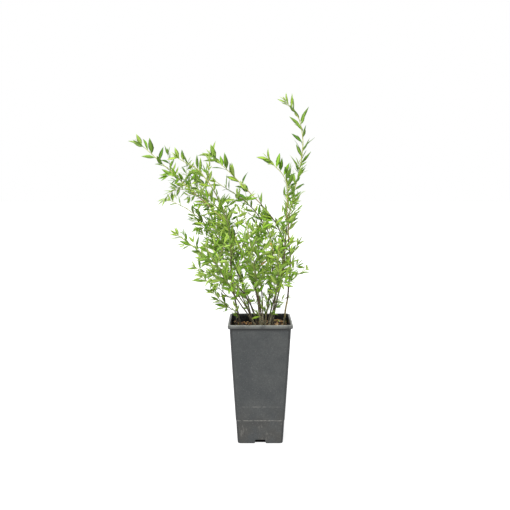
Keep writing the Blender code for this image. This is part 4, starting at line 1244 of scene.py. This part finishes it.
def leaf_finish(name, colour, vein_depth):
    """A waxy leaf surface: one base colour, with side veins as relief along its own map."""
    waxy = Finish(name, 0.55, colour)
    waxy.set("Specular IOR Level", 0.15)
    map_of_leaf = waxy.nodes.new("ShaderNodeUVMap")
    map_of_leaf.uv_map = "leaf"
    veins = waxy.nodes.new("ShaderNodeTexWave")
    veins.wave_type = "BANDS"
    veins.bands_direction = "DIAGONAL"
    veins.inputs["Scale"].default_value = 3.0
    veins.inputs["Distortion"].default_value = 1.0
    waxy.links.new(map_of_leaf.outputs["UV"], veins.inputs["Vector"])
    waxy.relief(veins.outputs["Fac"], vein_depth, 0.3)
    return waxy


form, form_faces, form_slots, form_uvs = leaf_form()
for tint, colours in LEAF_TINTS.items():
    pieces = JoinedPieces()
    for points in leaf_arrays(leaves[tint], form):
        pieces.add(points.tolist(), form_faces, form_slots)
    names = (f"leaf_{tint}", f"midrib_{tint}", f"leaf_underside_{tint}")
    foliage = pieces.to_object(f"leaves_{tint}", map(leaf_finish, names, colours, VEIN_DEPTHS))
    layer = foliage.data.uv_layers.new(name="leaf")
    layer.data.foreach_set("uv", np.tile(np.array(form_uvs).ravel(), len(leaves[tint])))
    foliage.data.shade_smooth()
    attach(foliage, "root")
    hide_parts(*mass_nodes)


# Studio: a plain near-white floor under even, soft light from the front and above, with the camera
# in front of the plant, level with its crown, looking slightly down.
FLOOR_REACH = 30
FLOOR_BELOW = 0.0002
FLOOR_TONE = (0.20, 0.20, 0.20)
FLOOR_GLOW = 0.85
WHITE = (1, 1, 1)
LAMP_STRENGTH = 4.4
LAMP_SOFTNESS = math.radians(22)
LAMP_TURN = (math.radians(38), 0, math.radians(-24))
LENS = 45.18
SENSOR_WIDTH = 36
CAMERA_PLACE = (-0.010, -1.226, 0.477)
CAMERA_TURN = (math.radians(90 - 5.55), 0, 0)

floor_bm = bmesh.new()
bmesh.ops.create_grid(floor_bm, x_segments=1, y_segments=1, size=FLOOR_REACH)
bmesh.ops.translate(floor_bm, verts=floor_bm.verts, vec=(0, 0, -FLOOR_BELOW))
studio_floor = new_object(floor_bm, "studio_floor")
floor_finish = Finish("floor_white", 0.9, FLOOR_TONE)
floor_finish.set("Emission Color", WHITE)
floor_finish.set("Emission Strength", FLOOR_GLOW)
studio_floor.data.materials.append(floor_finish.material)

world = bpy.data.worlds.new("soft_room")
world.use_nodes = True
background = world.node_tree.nodes["Background"]
background.inputs["Color"].default_value = (*WHITE, 1)
background.inputs["Strength"].default_value = 1.0
bpy.context.scene.world = world

lamp = add_object("diffused_lamp", bpy.data.lights.new("diffused_lamp", "SUN"))
lamp.data.energy = LAMP_STRENGTH
lamp.data.angle = LAMP_SOFTNESS
lamp.rotation_euler = LAMP_TURN

camera = add_object("camera", bpy.data.cameras.new("camera"))
camera.data.lens = LENS
camera.data.sensor_width = SENSOR_WIDTH
camera.location = CAMERA_PLACE
camera.rotation_euler = CAMERA_TURN
bpy.context.scene.camera = camera
bpy.context.scene.view_settings.view_transform = "Standard"
